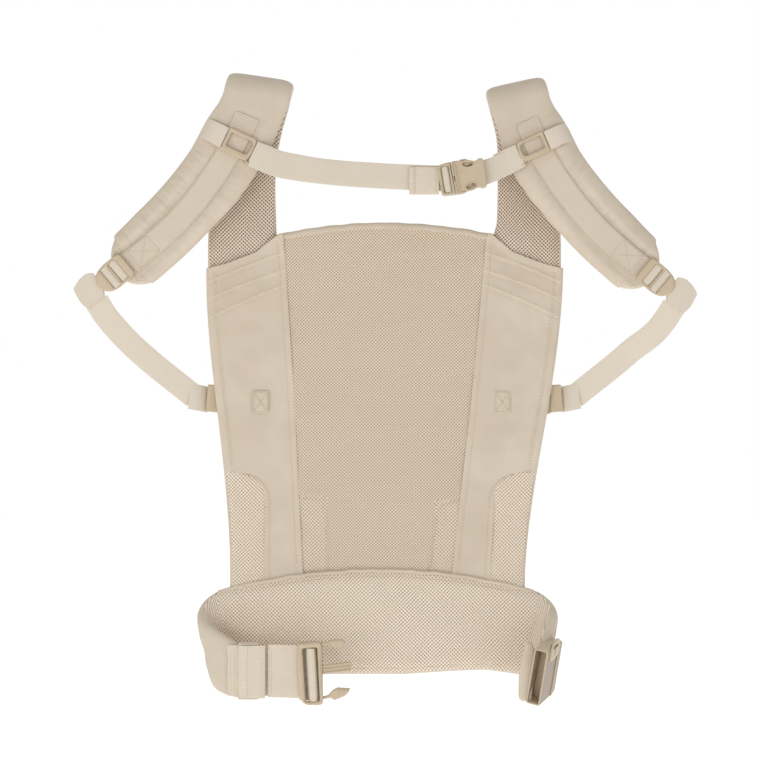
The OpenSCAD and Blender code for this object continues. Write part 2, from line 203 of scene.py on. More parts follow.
def mix(nt, factor, a, b):
    return add(nt, "Mix", {0: factor, 6: a, 7: b}, data_type="RGBA").outputs[2]


def noise(nt, vector, scale, detail, **inputs):
    return add(nt, "TexNoise", {"Vector": vector, "Scale": scale, "Detail": detail, **inputs}).outputs["Fac"]


def remap(nt, value, low, high, **settings):
    return add(nt, "MapRange", {"Value": value, "From Min": low, "From Max": high}, **settings).outputs[0]


def start(name, roughness, sheen=0.0, specular=0.35):
    m = bpy.data.materials.new(name)
    m.use_nodes = True
    nt = m.node_tree
    shader = nt.nodes["Principled BSDF"]
    for name, value in (("Roughness", roughness), ("Specular IOR Level", specular),
                        ("Sheen Weight", sheen), ("Sheen Roughness", 0.5)):
        shader.inputs[name].default_value = value
    return m, nt, shader


def cloth_axes(nt):
    """Millimetres across and along the cloth, from the piece's own UV map."""
    uv = add(nt, "UVMap", uv_map="cloth").outputs[0]
    parts = add(nt, "SeparateXYZ", {"Vector": uv}).outputs
    return uv, parts[0], parts[1]


def wave(nt, value, pitch, shift=0.0):
    return calc(nt, "SINE", calc(nt, "MULTIPLY_ADD", value, 2 * math.pi / pitch, shift))


def blotches(nt, size_mm, detail=3.0):
    where = add(nt, "TexCoord").outputs["Object"]
    return noise(nt, where, 1000 / size_mm, detail, Roughness=0.55)


def bump(nt, shader, height, distance_mm, strength=1.0):
    n = add(nt, "Bump", {"Height": height, "Distance": distance_mm * MM, "Strength": strength})
    nt.links.new(n.outputs[0], shader.inputs["Normal"])


def canvas(name, light, dark, thread=0.62):
    """Smooth cotton twill: fine diagonal ribs over crossed threads, with soft uneven dye."""
    m, nt, shader = start(name, 0.86, sheen=0.18, specular=0.2)
    uv, u, v = cloth_axes(nt)
    wobble = noise(nt, uv, 0.35, 2.0)
    twill = wave(nt, calc(nt, "ADD", calc(nt, "MULTIPLY_ADD", wobble, 0.5, u), v), thread * 1.9)
    threads = calc(nt, "MULTIPLY", wave(nt, u, thread), wave(nt, v, thread))
    weave = calc(nt, "MULTIPLY_ADD", threads, 0.35, calc(nt, "MULTIPLY", twill, 0.5))
    slub = noise(nt, uv, 1.4, 4.0, Roughness=0.7)
    dye = remap(nt, blotches(nt, 60), 0.36, 0.64)
    tone = calc(nt, "MULTIPLY_ADD", dye, 0.5, calc(nt, "MULTIPLY", slub, 0.5))
    tone = calc(nt, "MULTIPLY_ADD", weave, 0.07, tone, clamp=True)
    nt.links.new(mix(nt, tone, dark, light), shader.inputs["Base Color"])
    bump(nt, shader, calc(nt, "MULTIPLY_ADD", slub, 0.8, weave), 0.12, 0.55)
    return m


def spacer_mesh(name, light, mid, hole, pitch=3.7, deep=0.7, zones=52.0, slant=0.55):
    """Open spacer mesh: staggered holes between crossing strands, whose slant turns over in broad zigzags."""
    m, nt, shader = start(name, 0.8, sheen=0.1, specular=0.25)
    uv, u, v = cloth_axes(nt)
    drift = noise(nt, uv, 0.016, 1.0)
    u2 = calc(nt, "MULTIPLY_ADD", drift, 4.0, u)
    a = calc(nt, "MULTIPLY", calc(nt, "ADD", u2, v), 1 / pitch)
    b = calc(nt, "MULTIPLY", calc(nt, "SUBTRACT", u2, v), 1 / pitch)
    zigzag = wave(nt, calc(nt, "MULTIPLY_ADD", drift, 150.0, u), zones)
    steep = {"Value": calc(nt, "MULTIPLY", zigzag, 2.5), "Min": -1.0, "Max": 1.0}
    zigzag = calc(nt, "MULTIPLY", add(nt, "Clamp", steep).outputs[0], slant)
    cells = calc(
        nt, "ADD", calc(nt, "MULTIPLY", wave(nt, a, 1.0, math.pi / 2), calc(nt, "ADD", zigzag, 1.0)),
        calc(nt, "MULTIPLY", wave(nt, b, 1.0, math.pi / 2), calc(nt, "SUBTRACT", 1.0, zigzag)),
    )
    fine = noise(nt, uv, 0.8, 2.0)
    cells = calc(nt, "MULTIPLY_ADD", calc(nt, "SUBTRACT", fine, 0.5), 0.9, cells)
    open_share = remap(nt, cells, 0.2, 1.7, interpolation_type="SMOOTHSTEP")
    strand = remap(nt, cells, -1.7, 0.5)
    body = mix(nt, strand, light, mid)
    tone = calc(nt, "MULTIPLY", blotches(nt, 70), 0.35)
    nt.links.new(mix(nt, open_share, mix(nt, tone, body, mid), hole), shader.inputs["Base Color"])
    height = calc(nt, "SUBTRACT", calc(nt, "MULTIPLY", strand, -0.4), open_share)
    bump(nt, shader, height, deep, 0.7)
    return m


def webbing(name, light, dark, rib=1.9, depth=0.22):
    """Flat woven webbing: ribs along its length, crossed by fine weft."""
    m, nt, shader = start(name, 0.72, sheen=0.12, specular=0.3)
    uv, u, v = cloth_axes(nt)
    ribs = wave(nt, u, rib)
    weft = wave(nt, calc(nt, "MULTIPLY_ADD", ribs, 0.25, v), 0.95)
    fuzz = noise(nt, uv, 0.9, 2.0)
    weave = calc(nt, "MULTIPLY_ADD", weft, 0.35, ribs)
    tone = calc(nt, "MULTIPLY_ADD", fuzz, 0.5, calc(nt, "MULTIPLY", blotches(nt, 30), 0.5))
    tone = calc(nt, "MULTIPLY_ADD", weave, 0.16, tone, clamp=True)
    nt.links.new(mix(nt, tone, dark, light), shader.inputs["Base Color"])
    bump(nt, shader, weave, depth, 0.5)
    return m


def moulded(name, light, dark, roughness=0.42):
    """Matt moulded plastic with faint flow marks and a fine spark texture."""
    m, nt, shader = start(name, roughness, specular=0.5)
    flow, grain = blotches(nt, 14, 2.0), blotches(nt, 0.7, 2.0)
    tone = calc(nt, "MULTIPLY_ADD", grain, 0.15, calc(nt, "MULTIPLY", flow, 0.85))
    nt.links.new(mix(nt, tone, dark, light), shader.inputs["Base Color"])
    bump(nt, shader, calc(nt, "MULTIPLY_ADD", flow, 2.0, grain), 0.05, 0.5)
    return m


def thread_material(name, light, dark):
    m, nt, shader = start(name, 0.6, sheen=0.2, specular=0.35)
    nt.links.new(mix(nt, blotches(nt, 4), dark, light), shader.inputs["Base Color"])
    return m


CANVAS = canvas("canvas_beige", srgb(219, 206, 187), srgb(204, 189, 168))
CANVAS_OUTER = canvas("canvas_outer", srgb(214, 202, 183), srgb(205, 192, 172))
FINE = 3.6  # pitch of the finer meshes' holes
MESH, MESH_BELT, MESH_HOLES_PAINTED_SHADE, MESH_DART, MESH_FINE = (
    spacer_mesh("spacer_mesh" + name, srgb(*light), srgb(*mid), srgb(*hole), **look)
    for name, light, mid, hole, look in (
        ("", (233, 217, 197), (215, 197, 174), (172, 150, 126),
         {"pitch": 3.3, "zones": 90, "slant": 0.16}),
        ("_belt", (246, 234, 216), (228, 212, 192), (172, 151, 128), {"slant": 0.24}),
        # copy for the strap bases: its darker holes are painted shade, standing for the shade under the arms
        ("_holes_painted_shade", (240, 224, 205), (210, 191, 170), (118, 96, 81), {"deep": 1.2, "slant": 0.25}),
        ("_dart", (238, 223, 203), (219, 201, 179), (170, 149, 125), {"pitch": FINE, "slant": 0.2}),
        ("_fine", (243, 229, 211), (226, 210, 189), (176, 156, 132), {"pitch": FINE, "slant": 0.25}),
    )
)
WEBBING = webbing("webbing_beige", srgb(231, 219, 201), srgb(212, 197, 176))
WEBBING_FINE = webbing("webbing_narrow", srgb(225, 214, 198), srgb(208, 195, 176), rib=1.3, depth=0.05)
WEBBING_RAIL = webbing("webbing_rail", srgb(222, 209, 190), srgb(204, 189, 168), rib=1.3, depth=0.12)
PLASTIC = moulded("plastic_beige", srgb(205, 187, 160), srgb(192, 173, 145))
# darker copy of the plastic: painted shade for the waist socket's outer face, which is turned from the light
PLASTIC_FACE_PAINTED_SHADE = moulded("plastic_beige_face_painted_shade", srgb(167, 150, 129), srgb(155, 138, 118))
# dark plastic behind the socket's slot: a painted shadow inside the slot
PLASTIC_SLOT_PAINTED_SHADOW = moulded("plastic_beige_slot_painted_shadow", srgb(140, 118, 88), srgb(120, 100, 74))
THREAD = thread_material("sewing_thread", srgb(204, 188, 165), srgb(190, 173, 149))


# ---------------------------------------------------------------- mesh making


def hung(p):
    """How this carrier hangs: its right strap sits lower and further out than its left."""
    p = np.array(p, float)
    x, y, z = p[..., 0], p[..., 1], p[..., 2]
    right, left = smooth((x - 60) / 30), smooth((-60 - x) / 30)
    high = smooth((z - 440) / 70)
    inner = np.clip((150 - np.abs(x)) / 45, 0, 1)
    behind = smooth((y + 25) / 15)
    low = smooth((470 - z) / 120) * smooth((z - 215) / 60) * smooth((x - 150) / 20) * (1 - behind)
    base = RIGHT_BASE_OUT * inner * (1 - high) * behind * smooth((z - 380) / 25)
    fold = high * (RIGHT_FOLD_OUT + RIGHT_FOLD_INNER_OUT * inner)
    p[..., 0] += right * (fold + base + RIGHT_ARM_OUT * low) + left * high * LEFT_FOLD_IN * inner
    p[..., 2] += (
        left * high * (LEFT_FOLD_UP + LEFT_FOLD_INNER_UP * inner)
        - right * RIGHT_FOLD_DOWN * high - RIGHT_ARM_DOWN * low
    )
    return p


def make(name, points, faces, materials, uv=None, face_material=None, sharp=50, hang=True):
    """A mesh object from points in millimetres, with its cloth UV map in millimetres."""
    me = bpy.data.meshes.new(name)
    points = hung(points) if hang else np.asarray(points, float)
    me.from_pydata((points * MM).tolist(), [], [list(f) for f in faces])
    for m in materials:
        me.materials.append(m)
    if face_material is not None:
        me.polygons.foreach_set("material_index", np.asarray(face_material, np.int32))
    if uv is not None:
        layer = me.uv_layers.new(name="cloth")
        corner = np.zeros(len(me.loops), np.int32)
        me.loops.foreach_get("vertex_index", corner)
        layer.data.foreach_set("uv", np.asarray(uv, np.float32)[corner].ravel())
    ob = bpy.data.objects.new(name, me)
    bpy.context.scene.collection.objects.link(ob)
    tidy(ob, sharp)
    return ob


def tidy(ob, sharp=50):
    """Joins doubled points, drops faces with no area, turns the faces outwards and shades them smooth."""
    bm = bmesh.new()
    bm.from_mesh(ob.data)
    bmesh.ops.remove_doubles(bm, verts=bm.verts, dist=1e-6)
    bmesh.ops.dissolve_degenerate(bm, edges=bm.edges, dist=1e-7)
    bmesh.ops.recalc_face_normals(bm, faces=bm.faces)
    bm.to_mesh(ob.data)
    bm.free()
    ob.data.shade_smooth()
    ob.data.set_sharp_from_angle(angle=math.radians(sharp))


def grid_faces(n, m, offset=0, flip=False):
    i, j = np.meshgrid(np.arange(n - 1), np.arange(m - 1), indexing="ij")
    a = (i * m + j).ravel() + offset
    quads = np.stack([a, a + m, a + m + 1, a + 1], 1)
    return quads[:, ::-1] if flip else quads


def rim_faces(n, m, offset):
    """Quads that join the border of one grid to the border of the next."""
    ring = (
        [(0, j) for j in range(m - 1)]
        + [(i, m - 1) for i in range(n - 1)]
        + [(n - 1, j) for j in range(m - 1, 0, -1)]
        + [(i, 0) for i in range(n - 1, 0, -1)]
    )
    a = np.array([i * m + j for i, j in ring])
    b = np.roll(a, -1)
    return np.stack([a, b, b + offset, a + offset], 1)


def shell(name, front, back, uv, materials, pick=(0, 0, 0), edge_material=None, sharp=50):
    """A closed piece from a front and a back grid. pick gives the material of front, back and rim."""
    n, m = front.shape[:2]
    points = np.concatenate([front.reshape(-1, 3), back.reshape(-1, 3)])
    faces = np.concatenate([grid_faces(n, m), grid_faces(n, m, n * m, True), rim_faces(n, m, n * m)])
    kinds = np.concatenate([
        np.full((n - 1) * (m - 1), pick[0]), np.full((n - 1) * (m - 1), pick[1]),
        np.full(2 * (n - 1) + 2 * (m - 1), pick[2]),
    ])
    if edge_material is not None:
        part = np.asarray(edge_material)[:-1, :-1].ravel()
        kinds[: part.size] = np.where(part >= 0, part, kinds[: part.size])
    flat = np.asarray(uv, float).reshape(-1, 2)
    return make(name, points, faces, materials, np.concatenate([flat, flat]), kinds, sharp)


def normals_of(grid, towards):
    """The way that each point of a grid faces, on the side that faces the given way."""
    n = np.cross(np.gradient(grid, axis=0), np.gradient(grid, axis=1))
    n = n / np.maximum(np.linalg.norm(n, axis=-1, keepdims=True), 1e-9)
    return -n if (n * towards).sum() < 0 else n


def thick(name, top, thickness, uv, materials, towards=WEARER, **options):
    """A sheet of even thickness whose face towards the given side is the grid top."""
    return shell(name, top, top - normals_of(top, towards) * thickness, uv, materials, **options)


def ribbon(name, centre, across, width, thickness, material, towards=WEARER, strips=9):
    """Flat webbing along a centre line, with softly rounded edges."""
    centre = np.asarray(centre, float)
    across = unit(np.broadcast_to(np.asarray(across, float), centre.shape))
    c = steps(strips, 0.6)
    grid = centre[:, None] + across[:, None] * (c * width / 2)[None, :, None]
    n = normals_of(grid, towards)
    soft = (1 - 0.45 * np.abs(c) ** 6)[None, :, None]
    uv = np.stack(np.broadcast_arrays((c * width / 2)[None, :], lengths(centre)[:, None]), -1)
    middle, half = grid - n * thickness / 2, n * soft * thickness / 2
    return shell(name, middle + half, middle - half, uv, [material])


def loft(name, rings, material, sharp=40):
    """A solid through cross-section rings, capped at both ends."""
    rings = np.asarray(rings, float)
    n, m = rings.shape[:2]
    faces = []
    for i in range(n - 1):
        for j in range(m):
            k = (j + 1) % m
            faces.append([i * m + j, i * m + k, (i + 1) * m + k, (i + 1) * m + j])
    faces.append(list(range(m))[::-1])
    faces.append([(n - 1) * m + j for j in range(m)])
    across, reach = lengths(rings[0])[None, :], lengths(rings.mean(1))[:, None]
    uv = np.stack(np.broadcast_arrays(across, reach), -1).reshape(-1, 2)
    return make(name, rings.reshape(-1, 3), faces, [material], uv, None, sharp)


def rounded_loop(points, r, n=6):
    """An outline with its corners rounded over a distance r, or one distance for each corner."""
    p = np.array(points, float)
    out = []
    for k, reach in enumerate(np.broadcast_to(r, len(p))):
        a, b, c = p[k - 1], p[k], p[(k + 1) % len(p)]
        la, lc = np.linalg.norm(a - b), np.linalg.norm(c - b)
        d = min(reach, la * 0.49, lc * 0.49)
        s, e = b + (a - b) / la * d, b + (c - b) / lc * d
        out += [(1 - t) ** 2 * s + 2 * t * (1 - t) * b + t**2 * e for t in np.linspace(0, 1, n)]
    return np.array(out)


def ellipse(centre, rx, ry, turn=0, n=28):
    a, t = np.linspace(0, 2 * math.pi, n, endpoint=False), math.radians(turn)
    x, y, c, s = rx * np.cos(a), ry * np.sin(a), math.cos(t), math.sin(t)
    return np.stack([centre[0] + x * c - y * s, centre[1] + x * s + y * c], -1)


def inset(loop, d):
    """An outline moved by d towards its left-hand side."""
    sides = [loop - np.roll(loop, 1, 0), np.roll(loop, -1, 0) - loop]
    turned = lambda v: np.stack([-v[:, 1], v[:, 0]], -1)
    n1, n2 = (turned(v) / np.maximum(np.linalg.norm(v, axis=1), 1e-9)[:, None] for v in sides)
    m = n1 + n2
    return loop + d * m / np.maximum((m * n1).sum(1), 0.5)[:, None]


def oriented(loop, anticlockwise):
    x, y = np.array(loop, float).T
    area = (x * np.roll(y, -1) - y * np.roll(x, -1)).sum()
    return np.array(loop, float)[:: 1 if (area > 0) == anticlockwise else -1]


def at(origin, angle=0, sign=1):
    """A plane facing the wearer, turned by angle: (along, up, towards the wearer), mirrored by sign -1."""
    c, s = math.cos(math.radians(angle)), math.sin(math.radians(angle))

    def world(p):
        p = np.asarray(p, float)
        x, y, d = p[..., 0], p[..., 1], p[..., 2]
        return np.stack([sign * (origin[0] + x * c - y * s), origin[1] - d, origin[2] + x * s + y * c], -1)

    return world


def plate(name, loops, depth, thickness, world, material=None, edge=0.8):
    """A moulded plate with rounded edges, round depth. loops are its outline and then its holes."""
    half, e = thickness / 2, min(edge, thickness * 0.45)
    cut = e * 0.3
    profile = [(e, half), (cut, half - cut), (0, half - e), (0, e - half), (cut, cut - half), (e, -half)]
    points, faces, rings = [], [], []
    for k, loop in enumerate(loops):
        loop = oriented(loop, k == 0)
        n, base = len(loop), len(points)
        rings.append((base, n))
        for d, h in profile:
            points += [[x, y, depth + h] for x, y in inset(loop, d)]
        for a in range(base, base + n * (len(profile) - 1), n):
            faces += [[a + i, a + (i + 1) % n, a + n + (i + 1) % n, a + n + i] for i in range(n)]
    for row in (0, len(profile) - 1):
        index = [base + row * n + i for base, n in rings for i in range(n)]
        flat = [[Vector((*points[base + row * n + i][:2], 0)) for i in range(n)] for base, n in rings]
        faces += [[index[i] for i in t] for t in tessellate_polygon(flat)]
    points = np.array(points)
    ob = make(name, world(points), faces, [material or PLASTIC], points[:, :2], sharp=60)
    ob.modifiers.new("even_shading", "WEIGHTED_NORMAL").keep_sharp = True
    return ob


def joined(name, parts):
    """Several meshes as one object, each with its own materials."""
    kinds = list(dict.fromkeys(m for ob in parts for m in ob.data.materials))
    bm = bmesh.new()
    for ob in parts:
        own = [kinds.index(m) for m in ob.data.materials]
        first = len(bm.faces)
        bm.from_mesh(ob.data)
        bm.faces.ensure_lookup_table()
        for f in bm.faces[first:]:
            f.material_index = own[f.material_index]
    me = parts[0].data
    me.materials.clear()
    for m in kinds:
        me.materials.append(m)
    bm.to_mesh(me)
    bm.free()
    for ob in parts[1:]:
        bpy.data.objects.remove(ob)
    parts[0].name = me.name = name
    return parts[0]


def moulding(name, body, node, world, *plates):
    """A plastic piece made of plates, each (depth, thickness, edge, outline and holes)."""
    parts = [plate(name, loops, depth, thickness, world, edge=edge)
             for depth, thickness, edge, *loops in plates]
    return place(joined(name, parts), body, "plastic", node)


def strip(x0, y0, x1, y1, r):
    """A bar's outline with rounded corners."""
    return rounded_loop([[x0, y0], [x1, y0], [x1, y1], [x0, y1]], r)


STITCHES = {}
STITCH_BITE = 0.25
SIXTHS = (0, 1.047, 2.094, 3.142, 4.189, 5.236)


def stitch(body, points, out, pitch=3.3, length=2.3, radius=0.32):
    """Adds a row of stitches along points (mm) to the body's stitching; out is the way the surface faces."""
    p = np.asarray(points, float)
    reach = lengths(p)
    if reach[-1] < pitch:
        return
    spots = np.arange(pitch / 2, reach[-1], pitch)
    at_reach = lambda k: np.stack([np.interp(k, reach, axis) for axis in p.T], -1)
    centres = at_reach(spots)
    way = unit(at_reach(np.minimum(spots + 0.8, reach[-1])) - at_reach(np.maximum(spots - 0.8, 0)))
    side = unit(np.cross(way, np.broadcast_to(np.asarray(out, float), centres.shape)))
    rows = STITCHES.setdefault(body, [])
    for c, w, s, n in zip(centres, way, side, np.cross(side, way)):
        rows.append(
            [c - w * length / 2 - n * STITCH_BITE]
            + [c + w * length * t + (s * math.cos(a) + n * math.sin(a)) * radius
               for t in (-0.28, 0.28) for a in SIXTHS]
            + [c + w * length / 2 - n * STITCH_BITE]
        )


def finish_stitches():
    """One mesh of stitches for each body."""
    for body, rows in STITCHES.items():
        points = np.concatenate([np.array(r) for r in rows])
        faces = []
        for k in range(len(rows)):
            o = k * 14
            for j in range(6):
                i = (j + 1) % 6
                faces += [[o, o + 1 + i, o + 1 + j], [o + 1 + j, o + 1 + i, o + 7 + i, o + 7 + j],
                          [o + 13, o + 7 + j, o + 7 + i]]
        ob = make("stitching_" + body, points, faces, [THREAD], hang=False)
        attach(ob, body)


def on_surface(ob, path, from_y=-120, lift=0.05):
    """Drops a path of (x, z) points onto a piece along Y. Returns the points and which way it faces there."""
    tree = BVHTree.FromObject(ob, bpy.context.evaluated_depsgraph_get())
    way = Vector((0, 1 if from_y < 0 else -1, 0))
    points, faces = [], []
    depth = np.mean([v.co.y for v in ob.data.vertices]) / MM
    path = np.array(path, float)
    path = hung(xyz(path[:, 0], depth, path[:, 1]))[:, [0, 2]]
    for x, z in path:
        hit = tree.ray_cast(Vector((x * MM, from_y * MM, z * MM)), way)
        if hit[0] is None:
            continue
        points.append(np.array(hit[0]) / MM + np.array(hit[1]) * lift)
        faces.append(np.array(hit[1]))
    return np.array(points), np.array(faces)


def sew(body, ob, path, from_y=-120, **options):
    """A row of stitches on a piece, along an (x, z) path, seen along Y."""
    path = np.asarray(path, float)
    count = max(2, int(np.linalg.norm(np.diff(path, axis=0), axis=1).sum() / 1.5))
    points, faces = on_surface(ob, along(path, np.linspace(0, 1, count)), from_y)
    if len(points) > 2:
        stitch(body, points, faces.mean(0), **options)


def cross_box(body, ob, corners, **options):
    """A sewn box with an X in it."""
    c = [np.array(p, float) for p in corners]
    for path in ([*c, c[0]], [c[0], c[2]], [c[1], c[3]]):
        sew(body, ob, path, **options)


def place(ob, body, slot, *nodes):
    """The piece rides on a body and stands for CAD nodes, which it hides. slot is not used."""
    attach(ob, body)
    if nodes:
        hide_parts(*nodes)
    return ob


SIDES = (("left", -1), ("right", 1))


# ---------------------------------------------------------------- panel


def lean(z):
    """Where the panel's middle line stands at height z."""
    up = np.clip((z - BELT_TOP_Z) / (CORNER_Z - BELT_TOP_Z), 0, 1)
    return -SAG * (1 - up) + SWAY * hump(z - SWAY_Z, SWAY_REACH)


def panel_half(z):
    return PANEL_LOW_HALF + (PANEL_TOP_HALF - PANEL_LOW_HALF) * smooth((z - 40) / 316) + PANEL_EDGE


def belt_top(x):
    return BELT_TOP_Z - 25 * (x / 170) ** 2


def top_edge(x):
    return PANEL_TOP_Z - 12 * (x / BASE_INNER_X) ** 2


def mesh_half(z):
    """Half width of the centre mesh."""
    return 76 + 27 * (z - 50) / 333


def seam_z(x):
    """Height of the panel's upper outline at x, either side of the middle."""
    x = np.abs(x)
    s = np.array(SEAM)[::-1]
    return np.where(x < BASE_INNER_X, top_edge(x), np.interp(x, -s[:, 0], s[:, 1]))


def panel_back_y(x, z):
    """Outer face of the panel."""
    return 12.2 + 0.9 * ripple(x, z, 120, 11) + 0.5 * ripple(x, z, 45, 12)


def panel_body():
    u, v = steps(90, 0.5)[:, None], (np.linspace(0, 1, 100) ** 0.9)[None, :]
    low, high = belt_top(u * 146) - 14, seam_z(u * 177)
    z = low + v * (high - low) + 0 * u
    x = u * panel_half(z) + lean(z)
    edge = np.minimum((1 - np.abs(u)) * 160, (1 - v) * 330)
    soft = np.sqrt(np.clip(1 - (1 - np.clip(edge / 6, 0, 1)) ** 2, 0, 1))
    hem = hump(edge - 8, 1.1)
    front = PANEL_MID_Y - 2.2 * soft
    back = lerp(PANEL_MID_Y, panel_back_y(x, z), soft) - 0.7 * hem - 0.5 * hump(edge - 4, 1.0)
    sides = xyz(x, front, z), xyz(x, back, z)
    ob = shell("panel_body", *sides, np.stack([x, z], -1), [CANVAS, CANVAS_OUTER], (0, 1, 1))
    place(ob, "panel", "cloth", "panel_cover", "panel_foam")
    return ob


PLEATS = [([-174.5, 342], [-103, 370]), ([-174.5, 325], [-97, 355]), ([-172.5, 307], [-95, 341])]


def pleat_z(pleat, x):
    (x0, z0), (x1, z1) = pleat
    return z0 + (z1 - z0) * (x - x0) / (x1 - x0) + 1.2 * np.sin((x - x0) / 21)


def pleats(x, z):
    """Three tucks below the strap seam, drawn on the left side."""
    lift = 0 * x
    for pleat in PLEATS:
        d = z - pleat_z(pleat, x)
        fade = smooth((-92 - x) / 18) * smooth((x + 178) / 4)
        lift = lift + fade * (1.5 * np.where(d > 0, np.exp(-d / 6.5), 0) - 0.5 * hump(d + 1.2, 1.3))
    return lift


CORNER_R, CORNER_X, CORNER_ROUND_Z = 25, 140, 125  # round corner at the top of the side mesh


def inset_x(z):
    """Inner edge of the side mesh at height z."""
    past = np.clip(z - CORNER_ROUND_Z, 0, CORNER_R)
    arc = CORNER_X - np.sqrt(np.clip(CORNER_R**2 - past**2, 0, None))
    return np.where(z > CORNER_ROUND_Z, arc, 113 + 2 * (z - 40) / 85)


def facing_edges(n):
    """Inner edge, along the centre mesh, and outer edge, round the side mesh and up the panel's side."""
    z = np.linspace(belt_top(95) - 8, 386, 200)
    inner = np.stack([mesh_half(z) - 1.5, z], -1)
    arc = np.radians(np.linspace(180, 90, 24))
    low = [[113, belt_top(113) - 9]]
    round_ = np.stack([CORNER_X + CORNER_R * np.cos(arc), CORNER_ROUND_Z + CORNER_R * np.sin(arc)], -1)
    z2 = np.linspace(150.5, 356, 120)
    side_ = np.stack([panel_half(z2) - 0.7, z2], -1)
    outer = np.concatenate([low, round_, side_])
    t = np.linspace(0, 1, n)
    matched = lambda path, shares: along(path, np.interp(t, [0, 0.24, 0.30, 1], shares))
    r = lengths(outer) / lengths(outer)[-1]
    shares = [(h - z[0]) / (z[-1] - z[0]) for h in (z[0], 149, 153, z[-1])]
    return matched(inner, shares), matched(outer, [0, r[24], r[25], 1])


def facing(side, sign):
    inner, outer = facing_edges(220)
    c = (steps(50, 0.5)[:, None] + 1) / 2
    p = lerp(inner[None], outer[None], c[..., None])
    x, z = p[..., 0], p[..., 1]
    high = seam_z(x) - 0.2
    top_share = smooth((np.linspace(0, 1, 220)[None, :] - 0.55) / 0.45)
    z = z + top_share * (seam_z(x[:, -1:]) - 0.2 - z[:, -1:])
    seed = 20 + sign
    left = -x
    y = 2.7 - pleats(left, z)
    y = y - 0.5 * ripple(x * sign, z, 75, seed) - 0.2 * ripple(x * 1.6, z, 26, seed + 5)
    width = np.linalg.norm(outer - inner, axis=-1)[None, :]
    inner_d, outer_d = c * width, (1 - c) * width
    y = y - 0.9 * hump(inner_d - 2.0, 2.2) + 0.5 * hump(inner_d - 6.0, 1.0)
    low_part = smooth((151 - z) / 2)
    y = y + low_part * (-0.8 * hump(outer_d - 1.5, 2.0) + 0.45 * hump(outer_d - 5.5, 1.0))
    turned = 4.3 * (1 - np.sqrt(1 - np.clip(1 - outer_d / 5.5, 0, 1) ** 2))
    y = y + (1 - low_part) * (turned + 0.45 * hump(outer_d - 8.5, 1.0))
    y = y - 1.2 * smooth(1 - (high - z) / 9)
    y = y + 0.35 * hump(left + 124, 13) * hump(z - 222, 15)
    top = xyz(sign * x + lean(z), y, z)
    ob = thick("side_facing_cloth_" + side, top, 0.9, np.stack([x, z], -1), [CANVAS])
    return place(ob, "panel", "cloth", "side_facing_" + side)


DARTS = {
    "left": [[-88, 127], [-64.5, 127], [-58.5, 118], [-57.5, 90], [-57.5, 50]],
    "right": [[88, 126], [55.5, 121], [51.5, 104], [47, 70], [44, 50]],
}


def distance_to(path, x, z):
    """Distance of each point to a polyline."""
    best = np.full(x.shape, 1e9)
    for a, b in zip(path[:-1], path[1:]):
        a, b = np.array(a, float), np.array(b, float)
        d = b - a
        t = np.clip(((x - a[0]) * d[0] + (z - a[1]) * d[1]) / (d @ d), 0, 1)
        best = np.minimum(best, np.hypot(x - a[0] - t * d[0], z - a[1] - t * d[1]))
    return best


def centre_panel():
    c, v = steps(96, 0.2)[:, None], np.linspace(0, 1, 190)[None, :]
    low, high = belt_top(c * 76) - 8, top_edge(c * 100) - 3
    z = low + v * (high - low)
    x = c * (mesh_half(z) + 1) + lean(z)
    y = 3.5 - 1.4 * (1 - c**2) - 0.5 * ripple(x, z, 110, 31) - 0.15 * ripple(x, z, 30, 32)
    fine = np.zeros(x.shape)
    for side, path in DARTS.items():
        d = distance_to(curve(path, 60), x, z)
        y = y + 1.0 * hump(d, 1.3) - 0.5 * hump(d - 3.5, 2.5)
        inside = (x < -58) & (z < 127) if side == "left" else (x > 50) & (z < 123)
        fine = np.where(inside, 1, fine)
    y = y + 0.8 * smooth(1 - (z - belt_top(x)) / 10)
    uv, kinds = np.stack([x, z], -1), [MESH, MESH_DART]
    ob = thick("centre_mesh_face", xyz(x, y, z), 1.0, uv, kinds, edge_material=np.where(fine > 0, 1, -1))
    return place(ob, "panel", "mesh", "centre_mesh")


def side_inset(side, sign):
    c, v = (steps(24, 0.4)[:, None] + 1) / 2, np.linspace(0, 1, 60)[None, :]
    low = belt_top(130) - 12
    z = low + v * (151.5 - low) + 0 * c
    x = lerp(inset_x(np.minimum(z, 150)) - 2, panel_half(z) - 2.6, c)
    y = 3.2 - 0.9 * np.sin(math.pi * c) - 0.4 * ripple(x, z, 50, 40 + sign) + 1.2 * hump((1 - c) * 36, 3)
    top = xyz(sign * x + lean(z), y, z)
    ob = thick("side_mesh_inset_" + side, top, 1.0, np.stack([x, z], -1), [MESH_FINE])
    return place(ob, "panel", "mesh", "side_mesh_" + side)


def binding():
    x = np.linspace(-108, 108, 130)
    wave_z = 0.25 * ripple(x, 0 * x, 22, 50)
    section = np.array([
        [1.9, -6.0], [1.7, -4.0], [1.9, -2.0], [2.9, -0.3], [4.8, 0.6], [7.5, 0.9], [10.2, 0.6], [12.1, -0.3],
        [13.2, -2.0], [13.4, -4.0], [13.2, -6.0], [11.5, -6.2], [7.5, -5.0], [3.5, -6.2],
    ])
    rings = [[[a, y, top_edge(a) + z + w] for y, z in section] for a, w in zip(x, wave_z)]
    ob = loft("top_edge_binding", rings, CANVAS)
    return place(ob, "panel", "cloth", "top_binding")


